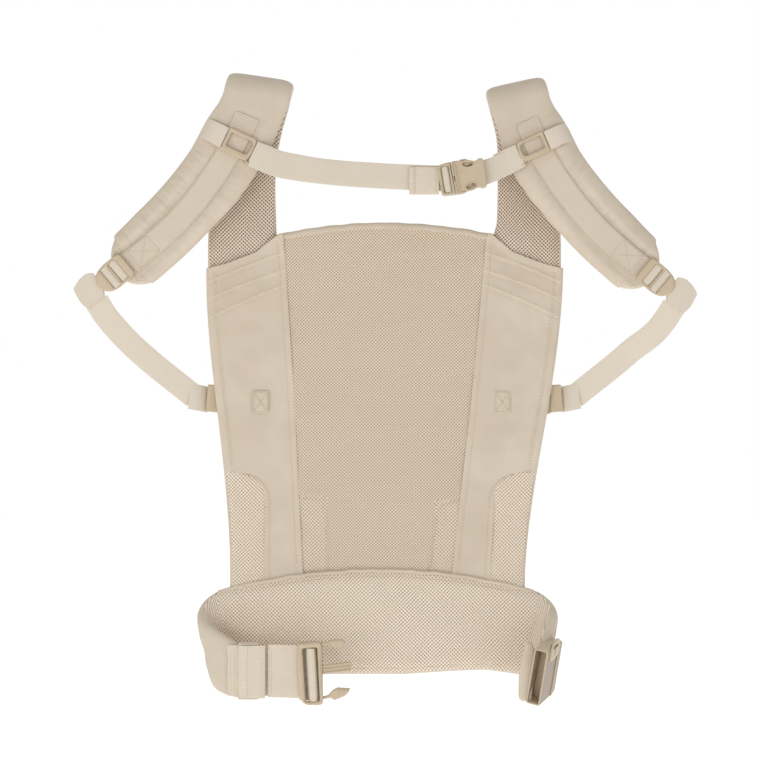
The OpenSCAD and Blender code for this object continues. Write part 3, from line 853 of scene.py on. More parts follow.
def patches():
    """A small patch on each facing, sewn with a box and an X."""
    for side, sign in SIDES:
        x, z = np.meshgrid(np.linspace(-8, 8, 12), np.linspace(-11, 11, 14), indexing="ij")
        edge = np.minimum(8 - np.abs(x), 11 - np.abs(z))
        grid = xyz(sign * 121 - 3 + x, 1.75 - 0.35 * smooth(edge / 2), 222 + z)
        ob = thick("sewn_patch_" + side, grid, 0.4, grid[..., [0, 2]], [CANVAS])
        place(ob, "panel", "cloth", "sewn_patches")
        x0, z0 = grid[0, 0, 0], grid[0, 0, 2]
        box = [[x0 + a, z0 + b] for a, b in ((1.4, 1.4), (14.6, 1.4), (14.6, 20.6), (1.4, 20.6))]
        cross_box("panel", ob, box, pitch=2.4, length=2.0, radius=0.42)


def panel():
    panel_body()
    faces = {side: facing(side, sign) for side, sign in SIDES}
    mesh_face = centre_panel()
    for side, sign in SIDES:
        side_inset(side, sign)
    binding()
    patches()
    z = np.linspace(60, 380, 60)
    for side, sign in SIDES:
        sew("panel", faces[side], np.stack([sign * (mesh_half(z) + 4.5) + lean(z), z], -1))
        z2 = np.linspace(158, 352, 40)
        for past in (8.2, 10.6):
            sew("panel", faces[side], np.stack([sign * (panel_half(z2) - past) + lean(z2), z2], -1))
        z3 = np.linspace(46, 150, 30)
        sew("panel", faces[side], np.stack([sign * (inset_x(z3) - 5.5) + lean(z3), z3], -1))
        for pleat in PLEATS:
            x = np.linspace(pleat[0][0] + 3, pleat[1][0] - 4, 30)
            sew("panel", faces[side], np.stack([-sign * x, pleat_z(pleat, x) + 2.4], -1))
    for path in DARTS.values():
        sew("panel", mesh_face, curve(path, 40) + [1.6, 1.6])


# ---------------------------------------------------------------- belt


def wing_point(s, r, zl, turn, right=False):
    """A point of a wing: s past the bend's start, r from its axis, zl along the axis."""
    s, r, zl = np.broadcast_arrays(*(np.asarray(k, float) for k in (s, r, zl)))
    t = math.radians(turn)
    end = WING_MID_R * t
    a = np.clip(s, 0, end) / WING_MID_R
    bent = np.stack([-r * np.sin(a), r * np.cos(a), zl], -1)
    after = np.maximum(s - end, 0)
    bent[..., 0] += np.maximum(-s, 0) - after * math.cos(t)
    bent[..., 1] += -after * math.sin(t)
    p = turned_y(bent, -WING_TILT) + WING_FRAME
    return p * [-1, 1, 1] + [-2 * SAG, 0, 0] if right else p


def belt_shell(name, front, back, uv, c):
    """A belt piece: mesh on the wearer's side, canvas outside and round the edges, where c is near 1."""
    edge = np.where(np.broadcast_to(np.abs(c) > 0.965, uv.shape[:2]), 1, -1)
    return shell(name, front, back, uv, [MESH_BELT, CANVAS_OUTER], (0, 1, 1), edge)


def belt_low_z(x):
    return np.interp(x, [-170, 20, 65, 100, 120, 145], [-51, -51, -48, -46.5, -49, -53])


def belt_middle():
    c, t = steps(44, 0.6)[:, None], np.linspace(0, 1, 150)[None, :]
    top_x, low_x = lerp(-168.9, 154.9, t), lerp(-150.1, 136.1, t)
    high, low = belt_top(top_x + SAG), belt_low_z(low_x)
    k = (c + 1) / 2
    x, z = lerp(low_x, top_x, k), lerp(low, high, k)
    ends = smooth(np.minimum(t, 1 - t) * 330 / 45)
    puff = ends * (0.9 * ripple(x, z, 100, 60) + 0.35 * ripple(x, z, 38, 61))
    h = BELT_HALF_THICK * rounded(c)
    seam = ends * hump((1 - np.abs(c)) * 50 - 6, 1.6)
    front = 7 - h + 0.5 * seam - 0.6 * puff * rounded(c, 4)
    back = 7 + h - 0.6 * seam + puff * rounded(c, 4)
    ob = belt_shell("belt_pad", xyz(x, front, z), xyz(x, back, z), np.stack([x, z], -1), c)
    place(ob, "panel", "cloth", "belt_mesh", "belt_foam", "belt_cover")
    return ob


def belt_top_roll():
    """The belt's rolled upper edge, sewn over the panel's lining."""
    x = np.linspace(-167, 150, 200)
    y = 1.6 + 5 * smooth((np.abs(x + SAG) - 135) / 22)
    z = belt_top(x + SAG) - 0.6 + 0.4 * ripple(x, 0 * x, 26, 64)
    a = np.linspace(0, 2 * math.pi, 12, endpoint=False)
    rings = [[[i, j + 2.6 * math.cos(t), k + 2.0 * math.sin(t)] for t in a] for i, j, k in zip(x, y, z)]
    ob = loft("belt_top_roll", rings, CANVAS)
    place(ob, "panel", "webbing")


def turn_strip(name, s0, s1, turn, right, n=26):
    """Part of a belt wing that follows the bend, from s0 to s1."""
    c, s = steps(44, 0.6)[:, None], np.linspace(s0, s1, n)[None, :]
    top, low = curve(WING_TOP, 200), curve(WING_LOW, 200)
    high = np.interp(s, top[:, 0], top[:, 1])
    down = np.interp(s, low[:, 0], low[:, 1])
    zl = lerp(down, high, (c + 1) / 2)
    h = BELT_HALF_THICK * rounded(c)
    crease = 0.5 * ripple(s, zl, 26, 63) * smooth(s / 12) * rounded(c, 4)
    inner = wing_point(s, WING_MID_R - h + 0 * s, zl, turn, right)
    outer = wing_point(s, WING_MID_R + h + crease, zl, turn, right)
    return belt_shell(name, inner, outer, np.stack(np.broadcast_arrays(s, zl), -1), c)


def wing_end(name, turn, right, top_end, low_end, last_half):
    """The wing past its bend, flat, thinning towards its end. The ends are in the webbing's frame."""
    length = WING_MID_R * math.radians(turn)
    c, t = steps(44, 0.6)[:, None], np.linspace(0, 1, 30)[None, :]
    top0 = np.interp(length, *curve(WING_TOP, 200).T)
    low0 = np.interp(length, *curve(WING_LOW, 200).T)

    def flat(p):
        """From the webbing's frame to distance past the bend and height on its axis."""
        q = turned_y([p[0], 0, p[1]], -WING_TILT)
        return np.array([-q[0], q[2]])

    a, b = flat(top_end), flat(low_end)
    k = (c + 1) / 2
    d = lerp(lerp(0, b[0], t), lerp(0, a[0], t), k)
    zl = lerp(lerp(low0, b[1], t), lerp(top0, a[1], t), k)
    h = lerp(BELT_HALF_THICK, last_half, smooth(t * 1.1 - 0.1)) * rounded(c)
    crease = 0.5 * ripple(d, zl, 24, 65) * smooth(t / 0.2) * rounded(c, 4)
    middle = WING_MID_R + (BELT_HALF_THICK - last_half) * smooth(t)
    inner, outer = (wing_point(length + d, r, zl, turn, right) for r in (middle - h, middle + h + crease))
    return belt_shell(name, inner, outer, np.stack(np.broadcast_arrays(length + d, zl), -1), c)


def bend_pair(side, turn, right):
    """The two halves of a wing's bend, split at its middle."""
    end = WING_MID_R * math.radians(turn)
    bend, wing = side + "_bend", side + "_wing"
    for k, (s0, s1, a, b) in enumerate(((0, end / 2, "panel", bend), (end / 2, end, bend, wing))):
        ob = turn_strip(f"belt_turn_{side}_{k + 1}", s0, s1, turn, right)
        from_, to = (wing_point(s, WING_MID_R, -30, turn, right) * MM for s in (s0, s1))
        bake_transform(ob)
        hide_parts("belt_bend_" + side)


def belt():
    middle = belt_middle()
    belt_top_roll()
    bend_pair("left", LEFT_TURN, False)
    bend_pair("right", RIGHT_TURN, True)
    left = wing_end("belt_wing_left", LEFT_TURN, False, [-31, -33], [-31, -81], 2.5)
    place(left, "left_wing", "cloth", "belt_end_left")
    right = wing_end("belt_wing_right", RIGHT_TURN, True, [-40, -33], [-40, -76.5], 3.5)
    place(right, "right_wing", "cloth", "belt_end_right")
    high, low = np.linspace(-150, 135, 80), np.linspace(-140, 125, 80)
    for x, z in ((high, belt_top(high + SAG) - BELT_SEAM), (low, belt_low_z(low) + BELT_SEAM)):
        for from_y in (-120, 120):
            sew("panel", middle, np.stack([x, z], -1), from_y=from_y)


# ---------------------------------------------------------------- straps


def on_arc(r, heading):
    a = np.radians(heading)
    return ARC_CENTRE + np.stack(np.broadcast_arrays(r * np.cos(a), -r * np.sin(a)), -1)


def strap_base(side, sign):
    outer = curve([[-177, 356], [-177, 398], [-168.5, 470], FOLD_OUTER], 60)
    inner = curve([[-108, 389], [-110, 445], [-107, 482], FOLD_INNER], 60)
    seam = along(SEAM, np.linspace(0, 1, 40))
    c = (steps(39, 0.5)[:, None] + 1) / 2
    v = np.linspace(0, 1, 60)[None, :]
    edges = outer[None] * (1 - c[..., None]) + inner[None] * c[..., None]
    chord = lerp(seam[0], seam[-1], c)
    bend = (along(SEAM, c[:, 0]) - chord)[:, None, :] * (1 - v[..., None]) ** 3
    p = edges + bend + np.stack([0 * v, -7 * (1 - v) ** 8], -1)
    x, z = p[..., 0], p[..., 1]
    across = 2 * c - 1
    h = STRAP_HALF * rounded(across, 7) * lerp(0.45, 1, smooth(v / 0.12))
    puff, fade = rounded(across, 4), smooth((1 - v) / 0.2)
    front = PANEL_MID_Y - h - 0.5 * ripple(x, z, 45, 70) * puff * fade
    back = PANEL_MID_Y + h + 0.7 * ripple(x, z, 50, 71) * puff * fade
    sides = (xyz(-sign * x, y, z) for y in (front, back))
    edge = np.where(np.abs(across + 0 * v) > 0.95, 1, -1)
    # the mesh face takes the copy whose darker holes are painted shade
    kinds = [MESH_HOLES_PAINTED_SHADE, CANVAS_OUTER]
    ob = shell("strap_base_" + side, *sides, np.stack([x, z], -1), kinds, (0, 1, 1), edge)
    place(ob, "panel", "cloth", "strap_base_mesh_" + side, "strap_base_pad_" + side)
    return ob


def shoulder_fold(side, sign):
    c = steps(39, 0.5)[:, None]
    a = np.radians(np.linspace(0, 180, 44))[None, :]
    k = (c + 1) / 2
    axis = lerp(FOLD_OUTER, FOLD_INNER, k)
    slope = FOLD_OUTER - FOLD_INNER
    up = -unit(np.array([-slope[1], slope[0]]))
    axis = widened(axis[:, None, :], smooth(a / (math.pi / 2))[..., None])
    h = STRAP_HALF * rounded(c, 7)
    mid_r = FOLD_INNER_R + STRAP_HALF

    def ring(r):
        x, z = (axis[..., k] + up[k] * r * np.sin(a) for k in (0, 1))
        return xyz(-sign * x, FOLD_AXIS_Y + r * np.cos(a), z)

    inner, outer = ring(mid_r - h + 0 * a), ring(mid_r + h + 0 * a)
    uv = np.stack(np.broadcast_arrays(c * 31, a * mid_r), -1)
    edge = np.where(np.abs(c + 0 * a) > 0.95, 1, -1)
    ob = shell("shoulder_roll_" + side, inner, outer, uv, [MESH, CANVAS], (0, 1, 1), edge)
    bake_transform(ob)
    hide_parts("shoulder_fold_" + side)
    return ob


def widened(p, share=1.0):
    """Points of the fold's axis, spread a little from its middle as the pad is squeezed."""
    middle = lerp(FOLD_OUTER, FOLD_INNER, 0.5)
    return middle + (p - middle) * (1 + 0.06 * np.asarray(share))


def arm_edges(h):
    outer = np.interp(h, [22, 25, 29, 33, 38, 46, 50, 54], [-31, -34, -35, -34, -35, -36, -34.5, -33])
    inner = np.interp(h, [22, 25, 30, 36, 41, 48, 54], [31, 33, 33.5, 32, 28.5, 27, 27])
    return outer, inner


def arm_grid(rows, columns):
    """Flat grid of a strap's arm: heading down the rows, across the strap in the columns."""
    c = steps(columns, 0.5)[:, None]
    h = np.linspace(ARC_START, ARC_END + 0.9, rows)[None, :]
    outer, inner = arm_edges(h)
    s = lerp(outer, inner, (c + 1) / 2)
    tip = smooth((h - (ARC_END - 3.6)) / 4.5) ** 2
    h2 = h - 2.4 * tip * np.abs(c) ** 2.6
    s = s * (1 - 0.10 * tip * np.abs(c))
    p = on_arc(ARC_R + s, h2)
    fold = widened(lerp(FOLD_OUTER, FOLD_INNER, ((c + 1) / 2)[..., None]))
    k = smooth((h - ARC_START) / 6)[..., None]
    start = on_arc(ARC_R + s, h + 0 * c) - on_arc(ARC_R + s, ARC_START + 0 * h + 0 * c)
    return c, h, s, (fold + start) * (1 - k) + p * k


def arm(side, sign):
    """The padded arm: canvas over mesh, creased beside the rail and drawn in at the cross band."""
    c, h, s, p = arm_grid(150, 34)
    x, z = p[..., 0], p[..., 1]
    length = ARC_R * np.radians(h - ARC_START)
    end = np.sqrt(np.clip(1 - (1 - np.clip((ARC_END + 0.9 - h) * 7 / 6, 0, 1)) ** 2, 0, 1))
    begin = smooth(length / 40)
    plump = rounded(c, 5) * end
    rail = smooth((14.5 - np.abs(s)) / 3) * smooth((h - 24) / 1.5)
    crease = smooth((h - 33) / 9) * (2.6 * hump(s + 15.5, 3.2) + 0.8 * hump(s - 14.5, 1.6))
    seed = 80 + sign
    creases = 0.8 * ripple(length * 1.5, s * 0.4, 26, seed) + 0.4 * ripple(length * 2.0, s, 15, seed + 3)
    bulge = 2.6 * begin * (1 - rail) * plump * hump(np.abs(s) - 22, 9)
    band = hump((h - 28.2) * 7, 12)
    front = ARM_MID_Y - STRAP_HALF * plump - bulge * (1 - 0.6 * band)
    front = front - begin * creases * (1 - rail) * plump * 0.7 * (1 - band)
    front = front + crease * plump * (1 - band)
    front = np.where(rail > 0, lerp(front, np.maximum(front, RAIL_FLOOR_Y), rail), front)
    back = ARM_MID_Y + STRAP_HALF * plump + 0.8 * begin * ripple(length, s, 45, seed + 7) * plump
    sides = (xyz(-sign * x, y, z) for y in (front, back))
    uv = np.stack(np.broadcast_arrays(s, length), -1)
    edge = np.where(np.abs(c + 0 * h) > 0.95, 0, -1)
    ob = shell("strap_arm_" + side, *sides, uv, [CANVAS, MESH], (0, 1, 0), edge)
    place(ob, side + "_strap", "cloth", "strap_cover_" + side, "strap_foam_" + side, "strap_mesh_" + side)
    return ob


def rail(side, sign):
    """The webbing along the arm, sewn down its sides, with a crossed box low down and a bar at the top."""
    h = np.linspace(24.9, ARC_END, 120)
    middle = lambda k: ARC_R - 2.5 * smooth((k - 40) / 13)
    centre = on_arc(middle(h), h)
    across = on_arc(ARC_R + 1, h) - on_arc(ARC_R, h)
    y = RAIL_Y + 0.15 * ripple(h * 7, 0 * h, 22, 90)
    centre, across = (xyz(-sign * p[:, 0], q, p[:, 1]) for p, q in ((centre, y), (across, 0)))
    ob = ribbon("rail_webbing_strip_" + side, centre, across, 24, 1.3, WEBBING_RAIL, strips=16)
    place(ob, side + "_strap", "webbing", "rail_webbing_" + side)
    body, fine = side + "_strap", {"pitch": 2.7, "length": 2.1, "radius": 0.34}
    spot = lambda a, b: on_arc(ARC_R + a, b) * [-sign, 1]
    for off in (-11, 11):
        k = np.linspace(31, 51.5, 60)
        sew(body, ob, on_arc(middle(k) + off, k) * [-sign, 1], **fine)
    cross_box(body, ob, [spot(-12.5, 47.2), spot(8, 47.2), spot(8, 50.8), spot(-12.5, 50.8)], **fine)
    for k in np.linspace(25.2, 26.6, 5):
        sew(body, ob, [spot(-10.5, k), spot(10.5, k)], pitch=1.7, length=1.5, radius=0.25)


def straps():
    for side, sign in SIDES:
        strap_base(side, sign)
        shoulder_fold(side, sign)
        arm(side, sign)
        rail(side, sign)


# ---------------------------------------------------------------- webbing and hardware

UPRIGHT, LEVEL = (0.0, 0, 1), (1.0, 0, 0)

SIDE_LINE = [[-284, 321.5], [-273.5, 303.8], [-252.5, 279.8], [-229.7, 258.8], [-206.7, 240], [-191, 227]]
SIDE_START_Y, SIDE_END_Y = -33.4, 13
SIDE_FOLD = [[-287, 350], [-295, 348.5], [-301.5, 342.5], [-307, 333.5], [-300, 320.5], [-293.5, 314.5],
             [-276.5, 327], [-277.5, 334]]


def side_webbing(side, sign):
    """The webbing from the arm's end to the side buckle, with its folded corner."""
    n, mirror = 80, [-sign, 1, 1]
    p = curve(SIDE_LINE, n)
    reach = np.linspace(0, 1, n)
    y = lerp(SIDE_START_Y, SIDE_END_Y, smooth(reach) * 0.35 + reach * 0.65)
    way = np.gradient(p, axis=0)
    centre = xyz(p[:, 0], y, p[:, 1]) * mirror
    across = xyz(-way[:, 1], 0, way[:, 0]) * mirror
    run = ribbon("side_webbing_run_" + side, centre, across, 24, 1.3, WEBBING_FINE, strips=14)
    outline, world = rounded_loop(SIDE_FOLD, 3), at((0, 0, 0), 0, -sign)
    layers = [plate("fold", [outline + shift], depth, 1.1, world, WEBBING_FINE, 0.4)
              for shift, depth in (([0, 0], 35.1), ([1.2, -1.4], 33.9))]
    for ob in (run, joined("side_webbing_corner_" + side, layers)):
        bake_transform(ob)
        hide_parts("side_webbing_" + side)


def side_buckle(side, sign):
    """The plug, its webbing loop at the panel's edge and the tab that holds the socket."""
    mirror, body = [-sign, 1, 1], side + "_side_plug"
    base = rounded_loop([[-7, -12.4], [6.5, -14], [6.5, 14], [-4.6, 14.6]], 1.2)
    tongue = rounded_loop([[6, -9], [16, -8], [16, 8], [6, 9]], 1.5)
    moulding("side_buckle_plug_" + side, body, "side_plug_" + side, at((-173, 17.5, 225), 0, -sign),
             (1.2, 5.5, 1.2, base), (0, 2.6, 0.8, tongue))
    t = np.linspace(0, 1, 30)
    centre = xyz(lerp(-196, -178.2, t), 10.5 + 8.5 * t**2.4, 228 - 3.5 * t) * mirror
    across = xyz(0.12 * (1 - t), 0, 1) * mirror
    loop = ribbon("side_buckle_loop_" + side, centre, across, 26, 1.5, WEBBING_FINE, strips=12)
    place(loop, body, "webbing", "side_loop_" + side)
    c = curve([[-137, 225], [-118, 222], [-100, 219]], 24)
    centre, across = xyz(c[:, 0], 13.6, c[:, 1]) * mirror, np.array([0.15, 0, 1]) * mirror
    tab = ribbon("side_buckle_tab_" + side, centre, across, 24, 1.4, WEBBING_FINE, towards=-WEARER)
    place(tab, "panel", "webbing", "side_tab_" + side)
    box = [[-sign * x, z] for x, z in ((-124, 212), (-103, 208.5), (-103, 229.5), (-124, 233))]
    cross_box("panel", tab, box, from_y=120, pitch=2.6, length=1.9)


# The slider's local axes lie along and across the arm's width, where the arm's heading is 28.2 degrees.
SLIDER_AT, SLIDER_TURN = (-143.3, -36.8, 475.9), -26
SLIDER_FRAME = [[-14.6, -12.6], [12.6, -12.8], [15.2, -6], [14.5, 10.6], [-14.6, 10.8]]
SLIDER_WINDOW = [[-11.2, -6.9], [11.2, -6.9], [12.4, 2.6], [11.2, 7], [-11.2, 7]]
SLIDER_HOOK = [[-26, -12.4], [-13, -12.5], [-13, -9.9], [-23.6, -9.8], [-23.6, -8.2], [-26, -8.2]]
SLIDER_EAR = [[9, -12.8], [17.5, -15.6], [18.5, -13.8], [16.5, -12], [12, -11]]
BAND_AT = (-143.6, 475)


def slider(side, sign):
    outer = rounded_loop(SLIDER_FRAME, [3, 4, 6, 3.5, 1.5])
    window = rounded_loop(SLIDER_WINDOW, [1.2, 3.5, 5, 4, 1.2])
    moulding("chest_slider_frame_" + side, side + "_slider", "chest_slider_" + side,
             at(SLIDER_AT, SLIDER_TURN, -sign), (0.2, 3, 1.2, outer, window),
             *((-0.6, 1.8, 0.6, rounded_loop(foot, 0.7)) for foot in (SLIDER_HOOK, SLIDER_EAR)))


def cross_band(side, sign):
    """The band round the arm that holds the slider: over its outer edge, behind it, over its inner edge."""
    back, front, mid = ARM_MID_Y + 10.6, ARM_MID_Y - 10.4, ARM_MID_Y
    path = [[-15.5, -36.4], [-22, -36.9], [-30, front], [-36.5, front + 5], [-38.6, mid],
            [-36.5, back - 3.5], [-30, back], [0, back + 0.6], [30, back], [36, back - 3.5], [38, mid],
            [36, front + 5], [29, front], [22, -36.9], [15.5, -36.4]]
    p = curve(path, 150)
    c, s = math.cos(math.radians(SLIDER_TURN)), math.sin(math.radians(SLIDER_TURN))
    centre = xyz(BAND_AT[0] + p[:, 0] * c, p[:, 1], BAND_AT[1] + p[:, 0] * s) * [-sign, 1, 1]
    ob = ribbon("cross_band_strip_" + side, centre, [sign * s, 0, c], 20.5, 1.2, WEBBING_FINE, strips=12)
    place(ob, side + "_slider", "webbing", "cross_band_" + side)


CHEST_LINES = {
    "left": [[-130, 466], [-118, 461], [-107, 456.5], [-90, 453], [-60, 449.4], [-34, 446.8], [14, 444],
             [60, 442.4]],
    "right": [[92, 447], [101, 449.6], [114, 455.5], [124, 461], [132, 466]],
}
CHEST_BUCKLE, CHEST_SLOPE = (68.5, -42, 442.2), 11.5
CHEST_TAIL_Z = 440


def chest_webbing():
    for side, line in CHEST_LINES.items():
        p = curve(line, 90)
        way = np.gradient(p, axis=0)
        centre = xyz(p[:, 0], -37.3 + 0.3 * ripple(p[:, 0], 0 * p[:, 0], 60, 95), p[:, 1])
        across = xyz(way[:, 1], 0, -way[:, 0])
        ob = ribbon("chest_webbing_strip_" + side, centre, across, 25, 1.4, WEBBING_FINE, strips=16)
        place(ob, side + "_slider", "webbing", "chest_webbing_" + side)


def chest_socket(world):
    """Two shells with walls between them, holes for the prongs' heads, and two ridges at the mouth."""
    half = [[0.3, -16.5], [7, -16.4], [10.5, -15.2], [18, -13.7], [23.2, -13.4], [25, -15.4], [29.8, -14.4]]
    corners = [1, 4, 4, 3, 1.5, 1.5, 2]
    outline = rounded_loop(half + [[x, -y] for x, y in half[::-1]], corners + corners[::-1])
    holes = [ellipse((14.6, 11.3), 5.0, 2.7, -7), ellipse((14.6, -11.3), 5.2, 2.9, 7)]
    plates = [(3.4, 2.4, 1.1, outline, *holes), (-3.4, 2.4, 1.1, outline)]
    for s, hole in zip((1, -1), holes):
        wall = [[0.3, s * 16.3], [7, s * 16.2], [10, s * 15.3], [9.5, s * 14.2], [0.3, s * 14.6]]
        plates += [(4.7, 0.9, 0.4, ellipse((14.6, s * 11.3), 6.6, 4.2, -7 * s), hole),
                   (0, 5, 0.3, rounded_loop(wall, 0.5))]
    end = rounded_loop([[22, -13], [29.4, -13.6], [29.4, 13.6], [22, 13]], 1.5)
    ridges = ((4.8, 0.7, 0.3, strip(x, -15.6, x + 0.8, 15.6, 0.3)) for x in (1.8, 3.4))
    moulding("chest_buckle_socket", "right_slider", "chest_socket", world, *plates, (0, 5, 0.4, end), *ridges)


def chest_plug(world):
    """Frame with a bar for the webbing, two ridges and the guide between the prongs."""
    frame_ = [[-15.4, -14.9], [-4, -16.2], [-0.3, -16.4], [-0.3, 16.4], [-5, 16.2], [-14.2, 15.4]]
    outer = rounded_loop(frame_, [3.5, 3, 0.8, 0.8, 3, 3.5])
    window = rounded_loop([[-12.6, -12.6], [-4.6, -13], [-3.6, 12.8], [-11.4, 13.4]], [2, 1.2, 1.2, 2])
    bar = rounded_loop([[-9.4, -14], [-6.6, -14], [-6.2, 14], [-9, 14]], 0.8)
    ridges = (rounded_loop([[x, -15.6], [x + 0.8, -15.6], [x + 0.9, 15.6], [x + 0.1, 15.6]], 0.3)
              for x in (-3.0, -1.5))
    guide = rounded_loop([[-1, -2.2], [17, -1.8], [17, 1.8], [-1, 2.2]], 0.8)
    moulding("chest_buckle_plug", "chest_plug", "chest_plug", world, (0.6, 7.4, 1.6, outer, window),
             (-1.5, 2.6, 0.8, bar), *((4.6, 0.8, 0.3, r) for r in ridges), (0, 3, 0.8, guide))


def over_bar(name, body, node, world, line, slant, width, thickness, material):
    """Webbing that comes up through a plug's window, over its bar and down again."""
    centre = world(line)
    over = ribbon(name, centre, world(line + [slant, 1, 0]) - centre, width, thickness, material)
    return place(over, body, "webbing", *node)


def chest_buckle():
    world = at(CHEST_BUCKLE, CHEST_SLOPE)
    chest_socket(world)
    chest_plug(world)
    t = np.linspace(-1, 1, 22)
    line = xyz(-7.9 + 4.4 * t, 0.1, 3.4 - 4.2 * t**4)
    over_bar("chest_tail_over_bar", "chest_plug", ["chest_tail"], world, line, 0.03, 25.4, 1.3, WEBBING_FINE)
    x = np.linspace(53.6, 24.2, 60)
    roll = smooth((30 - x) / 1.2)
    y = -39.4 - 1.5 * roll * np.sin(math.pi * np.clip((30 - x) / 5.8, 0, 1)) - 0.9 * smooth((x - 44) / 10)
    ob = ribbon("chest_tail_strip", xyz(x, y, CHEST_TAIL_Z), UPRIGHT, 27, 1.6, WEBBING, strips=16)
    place(ob, "chest_plug", "webbing")
    for k in (30.6, 50.5):
        sew("chest_plug", ob, [[k, 427.8], [k, 452.3]], pitch=1.9, length=1.5, radius=0.22)


LOCK_SHIFT = np.array([-5.9, 0, -0.7])  # the locks stand further out than in the CAD
LOCK_BAR, LOCK_HEADING = np.array([-255.62, -36.2, 353.08]) + LOCK_SHIFT, math.radians(50)
LOCK_LIP = [[15, 12.9], [19, 11.8], [23, 8.5], [25.6, 4], [26.4, 0], [25.6, -4], [23, -8.5], [19, -11.8],
            [15, -12.9]]
LOCK_PAD = [[15.4, -11.5], [15.4, 11.5], [19, 10.4], [22.4, 7.4], [24.4, 3.6], [25, 0], [24.4, -3.6],
            [22.4, -7.4], [19, -10.4]]


def ladder_lock(side, sign):
    """Strap adjuster; local x runs on past the strap's end and local y across it."""
    c, s = math.cos(LOCK_HEADING), math.sin(LOCK_HEADING)
    out, across = np.array([-s, 0, -c]), np.array([c, 0, -s])

    def world(p):
        p = np.asarray(p, float)
        q = LOCK_BAR + p[..., 0:1] * out + p[..., 1:2] * across + p[..., 2:3] * WEARER
        return q * [-sign, 1, 1]

    frame_ = [[-10.4, -13], [-10.4, 13], [-3, 13.8], [10, 13.8], *LOCK_LIP, [10, -13.8], [-3, -13.8]]
    outer = rounded_loop(frame_, [5] * 4 + [2] * 9 + [5] * 2)
    windows = strip(-3.4, -11, 5.2, 11, 1), strip(7.2, -11.3, 14.9, 11.3, 1)
    cover = rounded_loop([[-10, -12.4], [-3.9, -12.8], [-3.9, 12.8], [-10, 12.4]], [4, 1, 1, 4])
    moulding("strap_ladder_lock_" + side, side + "_lock", "ladder_lock_" + side, world,
             (0.3, 3.4, 1.3, outer, *windows), (2.2, 1.4, 0.6, cover),
             (2.1, 1.6, 0.7, rounded_loop(LOCK_PAD, 1.5)))
    t = np.linspace(-1, 1, 16)
    for k, (x0, x1, top) in enumerate(((-4.2, 5.4, 1.6), (6.4, 15.6, 1.8)), 1):
        line = xyz(lerp(x0, x1, (t + 1) / 2), 0, top - 2.2 * t**4)
        over_bar(f"lock_webbing_{side}_{k}", side + "_lock", [], world, line, 0, 21.8, 1.2, WEBBING_FINE)


WAIST_PLUG = (-73.3, -41.2, -42.7)
WAIST_WEB_Z, KEEPER_X = -42.8, -134
WAIST_FRAME = [[-12.3, 25.9], [-10.6, 28.4], [2, 30.2], [10.7, 30], [11.7, 21], [12.7, -14.5], [12.9, -31],
               [9, -32.9], [-2.7, -32.5], [-7, -30.3], [-9.9, -25.8], [-11.8, -14.5], [-13, 5.8]]
WAIST_UPPER = [[10, 26.8], [10, 29.2], [17.4, 29.4], [20.8, 31.3], [29, 32.1], [33.6, 30.9], [35.4, 29],
               [33, 26.6], [29, 24.4], [25.4, 23.4], [21.6, 24.4], [18.8, 26.8]]
WAIST_LOWER = [[10.5, -27.6], [10.5, -25], [18, -22.8], [21.8, -18.4], [26.6, -15.4], [39.6, -16.2],
               [37.8, -20.4], [34, -24], [23.9, -28], [20.4, -25.6]]


def waist_buckle():
    """Plug frame, guide with three ridges, two prongs, and the webbing over and behind the bar."""
    world = at(WAIST_PLUG)
    window = rounded_loop([[-7.6, 23], [6.9, 24.1], [9.7, -28.2], [-4.2, -29.2]], 1.5)
    bar = rounded_loop([[-1.8, 25.5], [2.6, 25.8], [5.6, -30], [1.2, -30.6]], 0.6)
    guide = rounded_loop([[10.6, 6], [40, 10.4], [41.4, 7], [41, 1], [34, 0.2], [10.8, -3]], 1.2)
    ridges = (rounded_loop([[10.6, y - 0.3], [39.2, y + 3.4], [39.6, y + 5.0], [10.6, y + 1.3]], 0.5)
              for y in (-2.2, 1.2, 4.6))
    moulding("waist_buckle_plug", "waist_plug", "waist_plug", world,
             (0.3, 9.5, 2.2, rounded_loop(WAIST_FRAME, 2.5), window), (-1.5, 3, 0.8, bar),
             (0, 2.6, 0.8, guide), *((1.5, 1.6, 0.5, r) for r in ridges))
    mark = rounded_loop([[27, -18], [35.5, -17.8], [31.5, -20.6]], 1)
    for name, outline, extra in (("upper", WAIST_UPPER, []), ("lower", WAIST_LOWER, [(2.6, 0.7, 0.3, mark)])):
        moulding("waist_buckle_prong_" + name, f"waist_{name}_prong", "waist_prong_" + name, world,
                 (0, 5, 1.6, rounded_loop(outline, 1.2)), *extra)
    t = np.linspace(-1, 1, 24)
    line = xyz(2.1 + 5.1 * t, -2.8, 4.6 - 5.5 * t**4)
    over_bar("waist_tail_over_bar", "waist_plug", ["waist_tail"], world, line, -0.055, 52, 1.5, WEBBING)
    line = xyz(np.linspace(-84, -60.8, 16), -35.6, WAIST_PLUG[2])
    behind = ribbon("waist_tail_behind_bar", line, UPRIGHT, 58, 1.2, WEBBING)
    place(behind, "waist_plug", "webbing")


